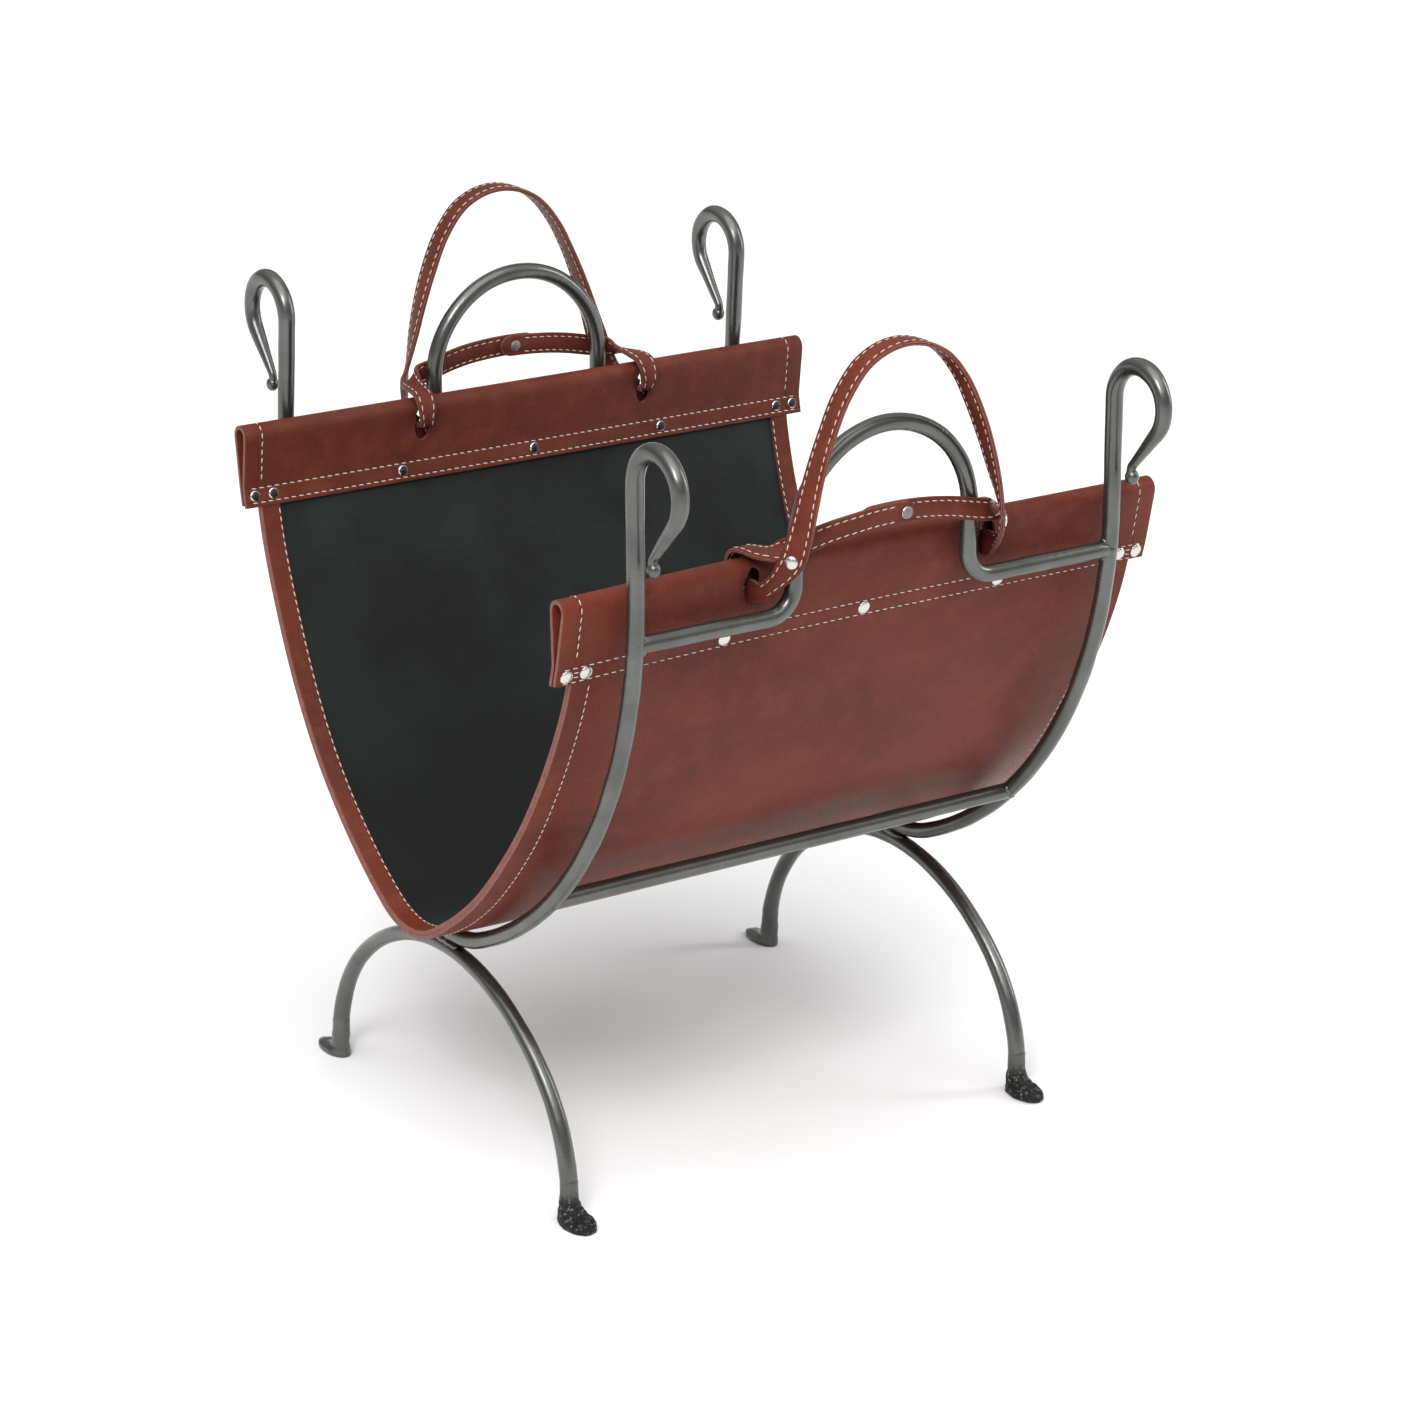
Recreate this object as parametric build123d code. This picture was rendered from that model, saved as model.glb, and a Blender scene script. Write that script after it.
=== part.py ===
from build123d import *
import math
import os

os.makedirs("parts", exist_ok=True)

# Magazine rack: a forged steel stand that holds a lift-out leather carrier.
# X runs along the rack, Y from the front side to the back side, Z up. Millimetres.
# The origin is on the floor under the middle of the stand. Negative Y is the front side.

# Steel bar
BAR_R = 5.0

# Hoops: two U-shaped bars, one under each end of the carrier
HOOP_X = 164.0
HOOP_LOW_Z = 132.0
HOOP_LOW_R = 85.0
HOOP_LOW_ANGLE = 24.6
HOOP_SIDE_R = 268.0
HOOP_SIDE_ANGLE = 92.5
HOOP_TOP_Z = 459.0

# Crooks: the curled ends of the hoops
CROOK_R = 21.5
CROOK_TURN = 222.0
CROOK_TAPER = 29.0
CROOK_TIP_R = 2.9
CROOK_CURL_R = 6.5
CROOK_CURL_TURN = 70.0
CROOK_BALL_R = 4.0

# Top rails with their handle arches
RAIL_Y = 191.4
RAIL_Z = 369.0
RAIL_BEND_R = 17.0
ARCH_R = 60.0
ARCH_CENTRE_Z = 409.0

# Lower rails
LOW_RAIL_Y = 111.4
LOW_RAIL_Z = 192.0

# Leg arches
LEG_CROWN_Z = 122.0
LEG_CROWN_R = 146.4
LEG_CROWN_ANGLE = 45.0
LEG_SIDE_R = 100.6
FOOT_TOP_Z = 24.0

# Feet
PAD_WIDTH = 22.5
PAD_LENGTH = 30.0
PAD_THICK = 4.5
PAD_CORNER_R = 10.0
PAD_Y = 137.0

# Weld beads
BEAD_R = 7.0
BEAD_LENGTH = 5.0
LEG_BEAD_R = 2.6
LEG_BEAD_LENGTH = 24.0

# Carrier sling: a bottom curve, two flat side curves and straight tops
SLING_HALF = 193.5
SLING_LOW_Z = 137.5
SLING_LOW_R = 55.0
SLING_LOW_ANGLE = 32.0
SLING_SIDE_R = 325.0
SLING_SIDE_ANGLE = 77.0
SLING_TOP_Z = 366.0
LEATHER = 2.4
LINING = 1.2
BINDING = 1.8
BINDING_WIDTH = 12.5
EDGE_TURN = 1.5

# Hems: the folded tubes along the carrier's two top edges
HEM_HALF = 204.0
HEM_TOP_Z = 404.0
HEM_Y = 176.0
HEM_R = 7.0
HEM_WALL = 2.5
FLAP_Z = 354.0
SLOT_X = 81.0
SLOT_WIDTH = 15.0
SLOT_LOW_Z = 378.0
SLOT_TOP_Z = 400.0

# Hem rivets
RIVET_X = (-197.5, -185.0, -95.0, 0.0, 95.0, 185.0, 197.5)
RIVET_Z = 359.0
CAP_R = 4.0
CAP_THICK = 1.4
POST_R = 1.5

# Straps
STRAP_WIDTH = 13.5
STRAP_THICK = 2.6
LOW_STRAP_Y = 198.0
LOW_STRAP_Z = 404.5
LOW_STRAP_HIGH = 15.0
LOW_STRAP_RISE = 8.0
TAB_WIDTH = 13.0
TAB_IN_Y = 163.5
TAB_PASS_Z = 386.0
FOOT_STRAP_Y = 201.0
HANDLE_CUT_Z = 407.0
HANDLE_APEX_Z = 521.0
HANDLE_FOOT_X = 71.5
HANDLE_TOP_R = 31.0
HANDLE_SIDE_R = 152.0
STRAP_RIVET_X = 74.0
STRAP_RIVET_Z = 403.0


def bend(x, centre_y, centre_z, radius, start, end):
    """An arc in the plane of a hoop; angles count from straight down towards +Y."""
    points = []
    for turn in (start, (start + end) / 2, end):
        a = math.radians(turn)
        points.append((x, centre_y + radius * math.sin(a), centre_z - radius * math.cos(a)))
    return ThreePointArc(*points)


def bar(path, radius=BAR_R):
    """A round bar along a path."""
    return sweep(Plane(origin=path @ 0, z_dir=path % 0) * Circle(radius), path=path)


def flip(shape):
    """The same piece on the other long side."""
    return mirror(shape, about=Plane.XZ)


# Centre of the hoop's large side curve, on the far side of the middle
low_a = math.radians(HOOP_LOW_ANGLE)
HOOP_SIDE_Y = (HOOP_LOW_R - HOOP_SIDE_R) * math.sin(low_a)
HOOP_SIDE_Z = HOOP_LOW_Z + HOOP_LOW_R + (HOOP_SIDE_R - HOOP_LOW_R) * math.cos(low_a)

# Where the hoop's side curve ends and its straight lean begins
side_a = math.radians(HOOP_SIDE_ANGLE)
LEAN_Y = HOOP_SIDE_Y + HOOP_SIDE_R * math.sin(side_a)
LEAN_Z = HOOP_SIDE_Z - HOOP_SIDE_R * math.cos(side_a)
HOOP_TOP_Y = LEAN_Y + (HOOP_TOP_Z - LEAN_Z) * math.cos(side_a) / math.sin(side_a)


def hoop(x):
    """One U-shaped bar, from upright to upright."""
    low = bend(x, 0, HOOP_LOW_Z + HOOP_LOW_R, HOOP_LOW_R, -HOOP_LOW_ANGLE, HOOP_LOW_ANGLE)
    back = bend(x, HOOP_SIDE_Y, HOOP_SIDE_Z, HOOP_SIDE_R, HOOP_LOW_ANGLE, HOOP_SIDE_ANGLE)
    front = bend(x, -HOOP_SIDE_Y, HOOP_SIDE_Z, HOOP_SIDE_R, -HOOP_SIDE_ANGLE, -HOOP_LOW_ANGLE)
    back_lean = Line((x, LEAN_Y, LEAN_Z), (x, HOOP_TOP_Y, HOOP_TOP_Z))
    front_lean = Line((x, -HOOP_TOP_Y, HOOP_TOP_Z), (x, -LEAN_Y, LEAN_Z))
    path = Wire([front_lean, front, low, back, back_lean])
    return bar(path)


def crook(x):
    """The curled top of an upright: a round loop, a thinning tail, a small curl and a ball."""
    lean = HOOP_SIDE_ANGLE
    a = math.radians(lean)
    loop_y = HOOP_TOP_Y + CROOK_R * math.sin(a)
    loop_z = HOOP_TOP_Z - CROOK_R * math.cos(a)
    points = []
    for turned in (0, CROOK_TURN / 2, CROOK_TURN):
        t = math.radians(lean - turned)
        points.append((x, loop_y - CROOK_R * math.sin(t), loop_z + CROOK_R * math.cos(t)))
    loop = bar(ThreePointArc(*points))

    heading = math.radians(lean - CROOK_TURN)
    ahead = Vector(0, math.cos(heading), math.sin(heading))
    tail_start = Vector(*points[2])
    tail_end = tail_start + ahead * CROOK_TAPER
    thick = Plane(origin=tail_start, z_dir=ahead) * Circle(BAR_R)
    thin = Plane(origin=tail_end, z_dir=ahead) * Circle(CROOK_TIP_R)
    tail = loft([thick, thin])

    side = Vector(0, -math.sin(heading), math.cos(heading))
    curl_centre = tail_end + side * CROOK_CURL_R
    curl_points = []
    for turned in (0, CROOK_CURL_TURN / 2, CROOK_CURL_TURN):
        t = heading + math.radians(turned)
        out = Vector(0, math.sin(t), -math.cos(t))
        curl_points.append(curl_centre + out * CROOK_CURL_R)
    curl = bar(ThreePointArc(*curl_points), CROOK_TIP_R)
    ball = Pos(curl_points[2]) * Sphere(CROOK_BALL_R)
    return loop + tail + curl + ball


def handle_rail(hoops):
    """The back top rail: straight from each hoop, then up and over as a half-round handle."""
    bend_x = ARCH_R + RAIL_BEND_R
    bend_z = RAIL_Z + RAIL_BEND_R
    mid = RAIL_BEND_R * math.sqrt(0.5)
    y = RAIL_Y
    edges = [
        Line((-HOOP_X, y, RAIL_Z), (-bend_x, y, RAIL_Z)),
        ThreePointArc((-bend_x, y, RAIL_Z), (-bend_x + mid, y, bend_z - mid), (-ARCH_R, y, bend_z)),
        Line((-ARCH_R, y, bend_z), (-ARCH_R, y, ARCH_CENTRE_Z)),
        ThreePointArc((-ARCH_R, y, ARCH_CENTRE_Z), (0, y, ARCH_CENTRE_Z + ARCH_R), (ARCH_R, y, ARCH_CENTRE_Z)),
        Line((ARCH_R, y, ARCH_CENTRE_Z), (ARCH_R, y, bend_z)),
        ThreePointArc((ARCH_R, y, bend_z), (bend_x - mid, y, bend_z - mid), (bend_x, y, RAIL_Z)),
        Line((bend_x, y, RAIL_Z), (HOOP_X, y, RAIL_Z)),
    ]
    return bar(Wire(edges)) - hoops


def lower_rail(hoops):
    """The back lower rail, a straight bar between the hoops."""
    return bar(Line((-HOOP_X, LOW_RAIL_Y, LOW_RAIL_Z), (HOOP_X, LOW_RAIL_Y, LOW_RAIL_Z))) - hoops


def leg_side_centre():
    """Centre of the leg's side curve."""
    a = math.radians(LEG_CROWN_ANGLE)
    y = (LEG_CROWN_R - LEG_SIDE_R) * math.sin(a)
    z = LEG_CROWN_Z - LEG_CROWN_R + (LEG_CROWN_R - LEG_SIDE_R) * math.cos(a)
    return y, z


def leg_arch(x):
    """One bent bar that stands under a hoop, down to the tops of its two feet."""
    side_y, side_z = leg_side_centre()
    end = 90 + math.degrees(math.asin((FOOT_TOP_Z - side_z) / LEG_SIDE_R))
    start = 180 - LEG_CROWN_ANGLE
    crown = bend(x, 0, LEG_CROWN_Z - LEG_CROWN_R, LEG_CROWN_R, 180 + LEG_CROWN_ANGLE, 180 - LEG_CROWN_ANGLE)
    front = bend(x, -side_y, side_z, LEG_SIDE_R, -end, -start)
    back = bend(x, side_y, side_z, LEG_SIDE_R, start, end)
    return bar(Wire([front, crown, back]))


def foot(x):
    """A back foot: the bar's end hammered out to a flat pad that points outwards."""
    side_y, side_z = leg_side_centre()
    rise = math.asin((FOOT_TOP_Z - side_z) / LEG_SIDE_R)
    ankle_y = side_y + LEG_SIDE_R * math.cos(rise)
    down = Vector(0, math.sin(rise), -math.cos(rise))
    ankle = Plane(origin=(x, ankle_y, FOOT_TOP_Z), z_dir=down) * Circle(BAR_R)
    instep = Plane(origin=(x, ankle_y + 2.5, PAD_THICK), x_dir=(1, 0, 0), z_dir=(0, 0, -1)) * Ellipse(8.5, 7.5)
    shank = loft([ankle, instep])
    pad = extrude(Pos(x, PAD_Y, 0) * RectangleRounded(PAD_WIDTH, PAD_LENGTH, PAD_CORNER_R), PAD_THICK)
    return shank + pad


def rail_beads(y, z, hoops, rail):
    """A bead around each end of a back rail, where it meets the hoops."""
    beads = []
    for side in (-1, 1):
        start = Plane(origin=(side * (HOOP_X - BAR_R + 1.5), y, z), z_dir=(-side, 0, 0))
        cone = start * Cone(BEAD_R, BAR_R + 0.3, BEAD_LENGTH, align=(Align.CENTER, Align.CENTER, Align.MIN))
        beads.append(cone - hoops - rail)
    return beads


def leg_beads(hoops, legs):
    """Beads along the grooves where each hoop sits on its leg arch."""
    beads = []
    for x in (-HOOP_X, HOOP_X):
        for side in (-1, 1):
            rod = Pos(x + side * 3.0, 0, HOOP_LOW_Z - BAR_R) * Rot(90, 0, 0) * Cylinder(LEG_BEAD_R, LEG_BEAD_LENGTH)
            beads.append(rod - hoops - legs)
    return beads


# Centre of the sling's large side curve
sling_a = math.radians(SLING_LOW_ANGLE)
SLING_SIDE_Y = (SLING_LOW_R - SLING_SIDE_R) * math.sin(sling_a)
SLING_SIDE_Z = SLING_LOW_Z + SLING_LOW_R + (SLING_SIDE_R - SLING_LOW_R) * math.cos(sling_a)
TOP_A = math.radians(SLING_SIDE_ANGLE)


def sling_point(depth, z):
    """Where the straight top of the sling passes height z, that deep inside its outer face."""
    y = SLING_SIDE_Y + (SLING_SIDE_R - depth) * math.sin(TOP_A)
    height = SLING_SIDE_Z - (SLING_SIDE_R - depth) * math.cos(TOP_A)
    return (0, y + (z - height) * math.cos(TOP_A) / math.sin(TOP_A), z)


def sling_curve(depth, top_z):
    """The sling's section line, that deep inside its outer face, from front top to back top."""
    low = bend(0, 0, SLING_LOW_Z + SLING_LOW_R, SLING_LOW_R - depth, -SLING_LOW_ANGLE, SLING_LOW_ANGLE)
    side_r = SLING_SIDE_R - depth
    back = bend(0, SLING_SIDE_Y, SLING_SIDE_Z, side_r, SLING_LOW_ANGLE, SLING_SIDE_ANGLE)
    front = bend(0, -SLING_SIDE_Y, SLING_SIDE_Z, side_r, -SLING_SIDE_ANGLE, -SLING_LOW_ANGLE)
    top = sling_point(depth, top_z)
    back_top = Line(back @ 1, top)
    front_top = Line((0, -top[1], top_z), front @ 0)
    return [front_top, front, low, back, back_top]


def layer(outer, inner, start_x, end_x, top_z):
    """One layer of the sling between two depths, from start_x to end_x."""
    outside = sling_curve(outer, top_z)
    inside = sling_curve(inner, top_z)
    caps = [Line(outside[0] @ 0, inside[0] @ 0), Line(outside[-1] @ 1, inside[-1] @ 1)]
    face = Face(Wire(outside + inside + caps))
    return Pos(start_x, 0, 0) * Solid.extrude(face, Vector(end_x - start_x, 0, 0))


def box_between(low, high):
    """A box from its lowest to its highest corner."""
    size = [b - a for a, b in zip(low, high)]
    middle = [(a + b) / 2 for a, b in zip(low, high)]
    return Pos(*middle) * Box(*size)


def flat_prism(corners, start_x, end_x):
    """A prism along X with straight sides, from corners given as (y, z)."""
    wire = Wire(Polyline([(0, y, z) for y, z in corners], close=True).edges())
    return Pos(start_x, 0, 0) * Solid.extrude(Face(wire), Vector(end_x - start_x, 0, 0))


def top_strip(outer, inner, start_x, end_x):
    """A strip of the back top edge between the hem's lower edge and the seam."""
    corners = []
    for depth, z in ((outer, FLAP_Z), (outer, SLING_TOP_Z), (inner, SLING_TOP_Z), (inner, FLAP_Z)):
        corners.append(sling_point(depth, z)[1:])
    return flat_prism(corners, start_x, end_x)


def hem_tube():
    """The back hem: a teardrop tube over the seam, with the flap that is stitched down inside."""
    flap_depth = LEATHER + LINING
    seam_out = sling_point(0, SLING_TOP_Z)
    seam_in = sling_point(flap_depth + LEATHER, SLING_TOP_Z)
    side_z = HEM_TOP_Z - HEM_R
    outline = [
        Line(seam_out, (0, HEM_Y + HEM_R, side_z)),
        ThreePointArc((0, HEM_Y + HEM_R, side_z), (0, HEM_Y, HEM_TOP_Z), (0, HEM_Y - HEM_R, side_z)),
        Line((0, HEM_Y - HEM_R, side_z), seam_in),
        Line(seam_in, seam_out),
    ]
    hollow_r = HEM_R - HEM_WALL
    hollow_foot = (0, (seam_out[1] + seam_in[1]) / 2 + 0.3, SLING_TOP_Z + 4)
    hollow = [
        Line(hollow_foot, (0, HEM_Y + hollow_r, side_z)),
        ThreePointArc((0, HEM_Y + hollow_r, side_z), (0, HEM_Y, side_z + hollow_r), (0, HEM_Y - hollow_r, side_z)),
        Line((0, HEM_Y - hollow_r, side_z), hollow_foot),
    ]
    length = Vector(2 * HEM_HALF, 0, 0)
    tube = Solid.extrude(Face(Wire(outline)), length) - Solid.extrude(Face(Wire(hollow)), length)
    tube = Pos(-HEM_HALF, 0, 0) * tube
    flap = top_strip(flap_depth, flap_depth + LEATHER, -HEM_HALF, HEM_HALF)
    return tube + flap - slots()


def slots():
    """The two oval slots through both walls of the back hem."""
    cutters = []
    middle_z = (SLOT_LOW_Z + SLOT_TOP_Z) / 2
    for side in (-1, 1):
        plane = Plane(origin=(side * SLOT_X, HEM_Y - 20, middle_z), x_dir=(0, 0, 1), z_dir=(0, 1, 0))
        cutters.append(extrude(plane * SlotOverall(SLOT_TOP_Z - SLOT_LOW_Z, SLOT_WIDTH), 40))
    return cutters


def hem_rivet_parts():
    """The back hem's rivets: bright caps with posts, and the dark caps inside."""
    outer = []
    inner = []
    depth = 2 * LEATHER + LINING
    normal = Vector(0, math.sin(TOP_A), -math.cos(TOP_A))
    for x in RIVET_X:
        face = sling_point(0, RIVET_Z)
        seat = Plane(origin=(x, face[1], face[2]), z_dir=normal)
        low = (Align.CENTER, Align.CENTER, Align.MIN)
        high = (Align.CENTER, Align.CENTER, Align.MAX)
        cap = seat * Cylinder(CAP_R, CAP_THICK, align=low)
        cap = fillet(cap.edges().sort_by_distance(seat.origin + normal * CAP_THICK)[0], 0.9)
        post = seat * Cylinder(POST_R, depth, align=high)
        outer.append(cap + post)
        back_seat = Plane(origin=seat.origin - normal * depth, z_dir=normal)
        inner.append(back_seat * Cylinder(CAP_R - 0.5, CAP_THICK - 0.4, align=high))
    return outer, inner


def post_holes():
    """Cutters for the rivet posts of the back hem."""
    normal = Vector(0, math.sin(TOP_A), -math.cos(TOP_A))
    cutters = []
    for x in RIVET_X:
        face = sling_point(0, RIVET_Z)
        seat = Plane(origin=(x, face[1], face[2]), z_dir=normal)
        cutters.append(seat * Cylinder(POST_R, 30))
    return cutters


def low_strap():
    """The strap's low part: across outside the arch, then over the hem and down to the slots."""
    y = LOW_STRAP_Y
    half = SLOT_X + TAB_WIDTH / 2
    z = LOW_STRAP_Z
    top = z + LOW_STRAP_HIGH
    outline = [
        ThreePointArc((-half, y, z), (0, y, z + LOW_STRAP_RISE), (half, y, z)),
        Line((half, y, z), (half, y, top)),
        ThreePointArc((half, y, top), (0, y, top + LOW_STRAP_RISE), (-half, y, top)),
        Line((-half, y, top), (-half, y, z)),
    ]
    band = Solid.extrude(Face(Wire(outline)), Vector(0, STRAP_THICK, 0))
    for side in (-1, 1):
        x0 = side * SLOT_X - TAB_WIDTH / 2
        x1 = side * SLOT_X + TAB_WIDTH / 2
        band += box_between((x0, TAB_IN_Y, z), (x1, y + STRAP_THICK, z + STRAP_THICK))
        band += box_between((x0, TAB_IN_Y, TAB_PASS_Z), (x1, TAB_IN_Y + STRAP_THICK, z + STRAP_THICK))
    return band


def strap_feet():
    """The strap's two feet: through the hem's slots, then up the outside to the hand loop."""
    feet = []
    for side in (-1, 1):
        x0 = side * SLOT_X - TAB_WIDTH / 2
        x1 = side * SLOT_X + TAB_WIDTH / 2
        low = (x0, TAB_IN_Y + STRAP_THICK, TAB_PASS_Z)
        through = box_between(low, (x1, FOOT_STRAP_Y + STRAP_THICK, TAB_PASS_Z + STRAP_THICK))
        lean = HANDLE_FOOT_X - SLOT_X
        half = TAB_WIDTH / 2
        z1 = HANDLE_CUT_Z - 0.4
        y = FOOT_STRAP_Y
        corners = [
            (side * (SLOT_X - half), y, TAB_PASS_Z),
            (side * (SLOT_X + half), y, TAB_PASS_Z),
            (side * (SLOT_X + half + lean), y, z1),
            (side * (SLOT_X - half + lean), y, z1),
        ]
        leg = Face(Wire(Polyline(corners, close=True).edges()))
        leg = Solid.extrude(leg, Vector(0, STRAP_THICK, 0))
        feet.append(through + leg)
    return feet


def strap_handle():
    """The strap's hand loop: a tall arch of doubled leather, standing on edge along Y."""
    top_r = HANDLE_TOP_R
    side_r = HANDLE_SIDE_R
    centre_z = HANDLE_APEX_Z - STRAP_THICK / 2 - top_r
    reach = side_r - top_r
    foot_x = HANDLE_FOOT_X - STRAP_THICK / 2
    # The side curve is upright where it meets the foot, so its centre is level with the cut.
    drop = centre_z - HANDLE_CUT_Z
    inset = math.sqrt(reach * reach - drop * drop)
    join = math.atan2(drop, inset)
    side_x = foot_x - side_r
    y = FOOT_STRAP_Y + STRAP_WIDTH / 2
    shift = side_x + inset

    def at(cx, cz, r, angle):
        return (cx + r * math.cos(angle), y, cz + r * math.sin(angle))

    half = join / 2
    right_foot = at(side_x, HANDLE_CUT_Z, side_r, 0)
    right_mid = at(side_x, HANDLE_CUT_Z, side_r, half)
    right_join = at(side_x, HANDLE_CUT_Z, side_r, join)
    apex = at(shift, centre_z, top_r, math.pi / 2)
    flipped = [(-p[0], p[1], p[2]) for p in (right_foot, right_mid, right_join)]
    top = ThreePointArc(right_join, (0, apex[1], apex[2]), flipped[2])
    path = Wire([ThreePointArc(right_foot, right_mid, right_join), top, ThreePointArc(flipped[2], flipped[1], flipped[0])])
    section = Plane(origin=path @ 0, x_dir=(1, 0, 0), z_dir=(0, 0, 1)) * Rectangle(STRAP_THICK, STRAP_WIDTH)
    return sweep(section, path=path, transition=Transition.ROUND)


def strap_rivets():
    """Rivets on the outside of the strap: one at each crossing, one where its ends overlap."""
    caps = []
    seats = [(-STRAP_RIVET_X, FOOT_STRAP_Y + STRAP_THICK, STRAP_RIVET_Z)]
    seats.append((STRAP_RIVET_X, FOOT_STRAP_Y + STRAP_THICK, STRAP_RIVET_Z))
    middle_z = LOW_STRAP_Z + LOW_STRAP_HIGH / 2 + LOW_STRAP_RISE
    seats.append((0, LOW_STRAP_Y + STRAP_THICK, middle_z))
    for x, y, z in seats:
        seat = Plane(origin=(x, y, z), z_dir=(0, 1, 0))
        cap = seat * Cylinder(CAP_R, CAP_THICK, align=(Align.CENTER, Align.CENTER, Align.MIN))
        caps.append(fillet(cap.edges().sort_by(Axis.Y)[-1], 0.9))
    return caps


def save(name, shape):
    """Write one sub-part; a list is a group of separate solids."""
    if isinstance(shape, list):
        shape = Compound(children=shape)
    export_step(shape, f"parts/{name}.step")


# The stand
left_hoop = hoop(-HOOP_X)
right_hoop = hoop(HOOP_X)
both_hoops = [left_hoop, right_hoop]
save("left_hoop", left_hoop)
save("right_hoop", right_hoop)

for end_name, x in (("left", -HOOP_X), ("right", HOOP_X)):
    back_crook = crook(x)
    save(f"{end_name}_back_crook", back_crook)
    save(f"{end_name}_front_crook", flip(back_crook))
    back_foot = foot(x)
    save(f"{end_name}_back_foot", back_foot)
    save(f"{end_name}_front_foot", flip(back_foot))

top_rail = handle_rail(both_hoops)
save("back_handle_rail", top_rail)
save("front_handle_rail", flip(top_rail))
low_rail = lower_rail(both_hoops)
save("back_lower_rail", low_rail)
save("front_lower_rail", flip(low_rail))

left_leg = leg_arch(-HOOP_X)
right_leg = leg_arch(HOOP_X)
save("left_leg_arch", left_leg)
save("right_leg_arch", right_leg)

top_beads = rail_beads(RAIL_Y, RAIL_Z, both_hoops, top_rail)
low_beads = rail_beads(LOW_RAIL_Y, LOW_RAIL_Z, both_hoops, low_rail)
save("top_rail_welds", top_beads + [flip(b) for b in top_beads])
save("lower_rail_welds", low_beads + [flip(b) for b in low_beads])
save("leg_welds", leg_beads(both_hoops, [left_leg, right_leg]))

# The carrier
inside_leather = LEATHER
inside_lining = LEATHER + LINING
inside_binding = LEATHER + LINING + BINDING
holes = post_holes()
holes += [flip(h) for h in holes]

leather = layer(0, inside_leather, -SLING_HALF, SLING_HALF, SLING_TOP_Z)
for start_x, end_x in ((-HEM_HALF, -SLING_HALF), (SLING_HALF, HEM_HALF)):
    wing = top_strip(0, inside_leather, start_x, end_x)
    leather += wing
    leather += flip(wing)
save("sling_leather", leather - holes)

lining_half = SLING_HALF - EDGE_TURN
lining = layer(inside_leather, inside_lining, -lining_half, lining_half, SLING_TOP_Z)
save("sling_lining", lining - holes)

binding_top = FLAP_Z - 0.4
strip = layer(inside_leather, inside_binding, SLING_HALF - BINDING_WIDTH, SLING_HALF, binding_top)
covered = layer(inside_leather, inside_lining, SLING_HALF - BINDING_WIDTH, lining_half, binding_top)
right_binding = strip - covered
save("right_edge_binding", right_binding)
save("left_edge_binding", mirror(right_binding, about=Plane.YZ))

hem = hem_tube() - post_holes()
save("back_hem", hem)
save("front_hem", flip(hem))

caps, backs = hem_rivet_parts()
save("back_hem_rivets", caps)
save("front_hem_rivets", [flip(c) for c in caps])
save("back_hem_rivet_backs", backs)
save("front_hem_rivet_backs", [flip(b) for b in backs])

crossing = low_strap()
save("back_low_strap", crossing)
save("front_low_strap", flip(crossing))
feet = strap_feet()
save("back_strap_feet", feet)
save("front_strap_feet", [flip(f) for f in feet])
strap_caps = strap_rivets()
save("back_strap_rivets", strap_caps)
save("front_strap_rivets", [flip(c) for c in strap_caps])

# The hand loops
loop = strap_handle()
save("back_strap_handle", loop)
save("front_strap_handle", flip(loop))
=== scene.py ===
import math

import bmesh
import bpy
import numpy as np
from mathutils import Matrix, Vector, noise


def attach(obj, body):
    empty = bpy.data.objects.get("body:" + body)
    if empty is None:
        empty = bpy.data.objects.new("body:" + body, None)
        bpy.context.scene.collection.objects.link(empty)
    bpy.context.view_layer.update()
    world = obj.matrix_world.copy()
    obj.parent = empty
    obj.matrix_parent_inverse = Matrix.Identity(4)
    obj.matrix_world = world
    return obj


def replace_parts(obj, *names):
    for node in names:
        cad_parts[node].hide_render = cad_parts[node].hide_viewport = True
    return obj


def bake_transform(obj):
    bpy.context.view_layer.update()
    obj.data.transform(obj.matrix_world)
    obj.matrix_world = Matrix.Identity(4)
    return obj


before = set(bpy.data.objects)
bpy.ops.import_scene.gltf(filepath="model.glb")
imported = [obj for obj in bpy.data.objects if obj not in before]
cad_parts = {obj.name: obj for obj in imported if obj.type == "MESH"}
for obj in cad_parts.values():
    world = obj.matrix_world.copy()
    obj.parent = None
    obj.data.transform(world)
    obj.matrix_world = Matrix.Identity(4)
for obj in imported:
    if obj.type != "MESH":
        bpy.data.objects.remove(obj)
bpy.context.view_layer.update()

# Hoops: two U-shaped round bars, one under each end of the carrier, whose tops are forged
# thinner and curled outwards into crooks. Hot-bent mild steel with a dark waxed scale on it.
# The finish of all the steel is made here, with the small classes that write its shader nodes.


class Wire:
    """One value in a tree of nodes; arithmetic on it adds Math nodes."""

    def __init__(self, nodes, socket):
        self.nodes = nodes
        self.socket = socket

    def _maths(self, operation, first, second):
        return self.nodes.node("ShaderNodeMath", {"operation": operation}, {0: first, 1: second})

    def __add__(self, other):
        return self._maths("ADD", self, other)

    def __radd__(self, other):
        return self._maths("ADD", other, self)

    def __sub__(self, other):
        return self._maths("SUBTRACT", self, other)

    def __rsub__(self, other):
        return self._maths("SUBTRACT", other, self)

    def __mul__(self, other):
        return self._maths("MULTIPLY", self, other)

    def __abs__(self):
        return self._maths("ABSOLUTE", self, 0.0)


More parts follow.
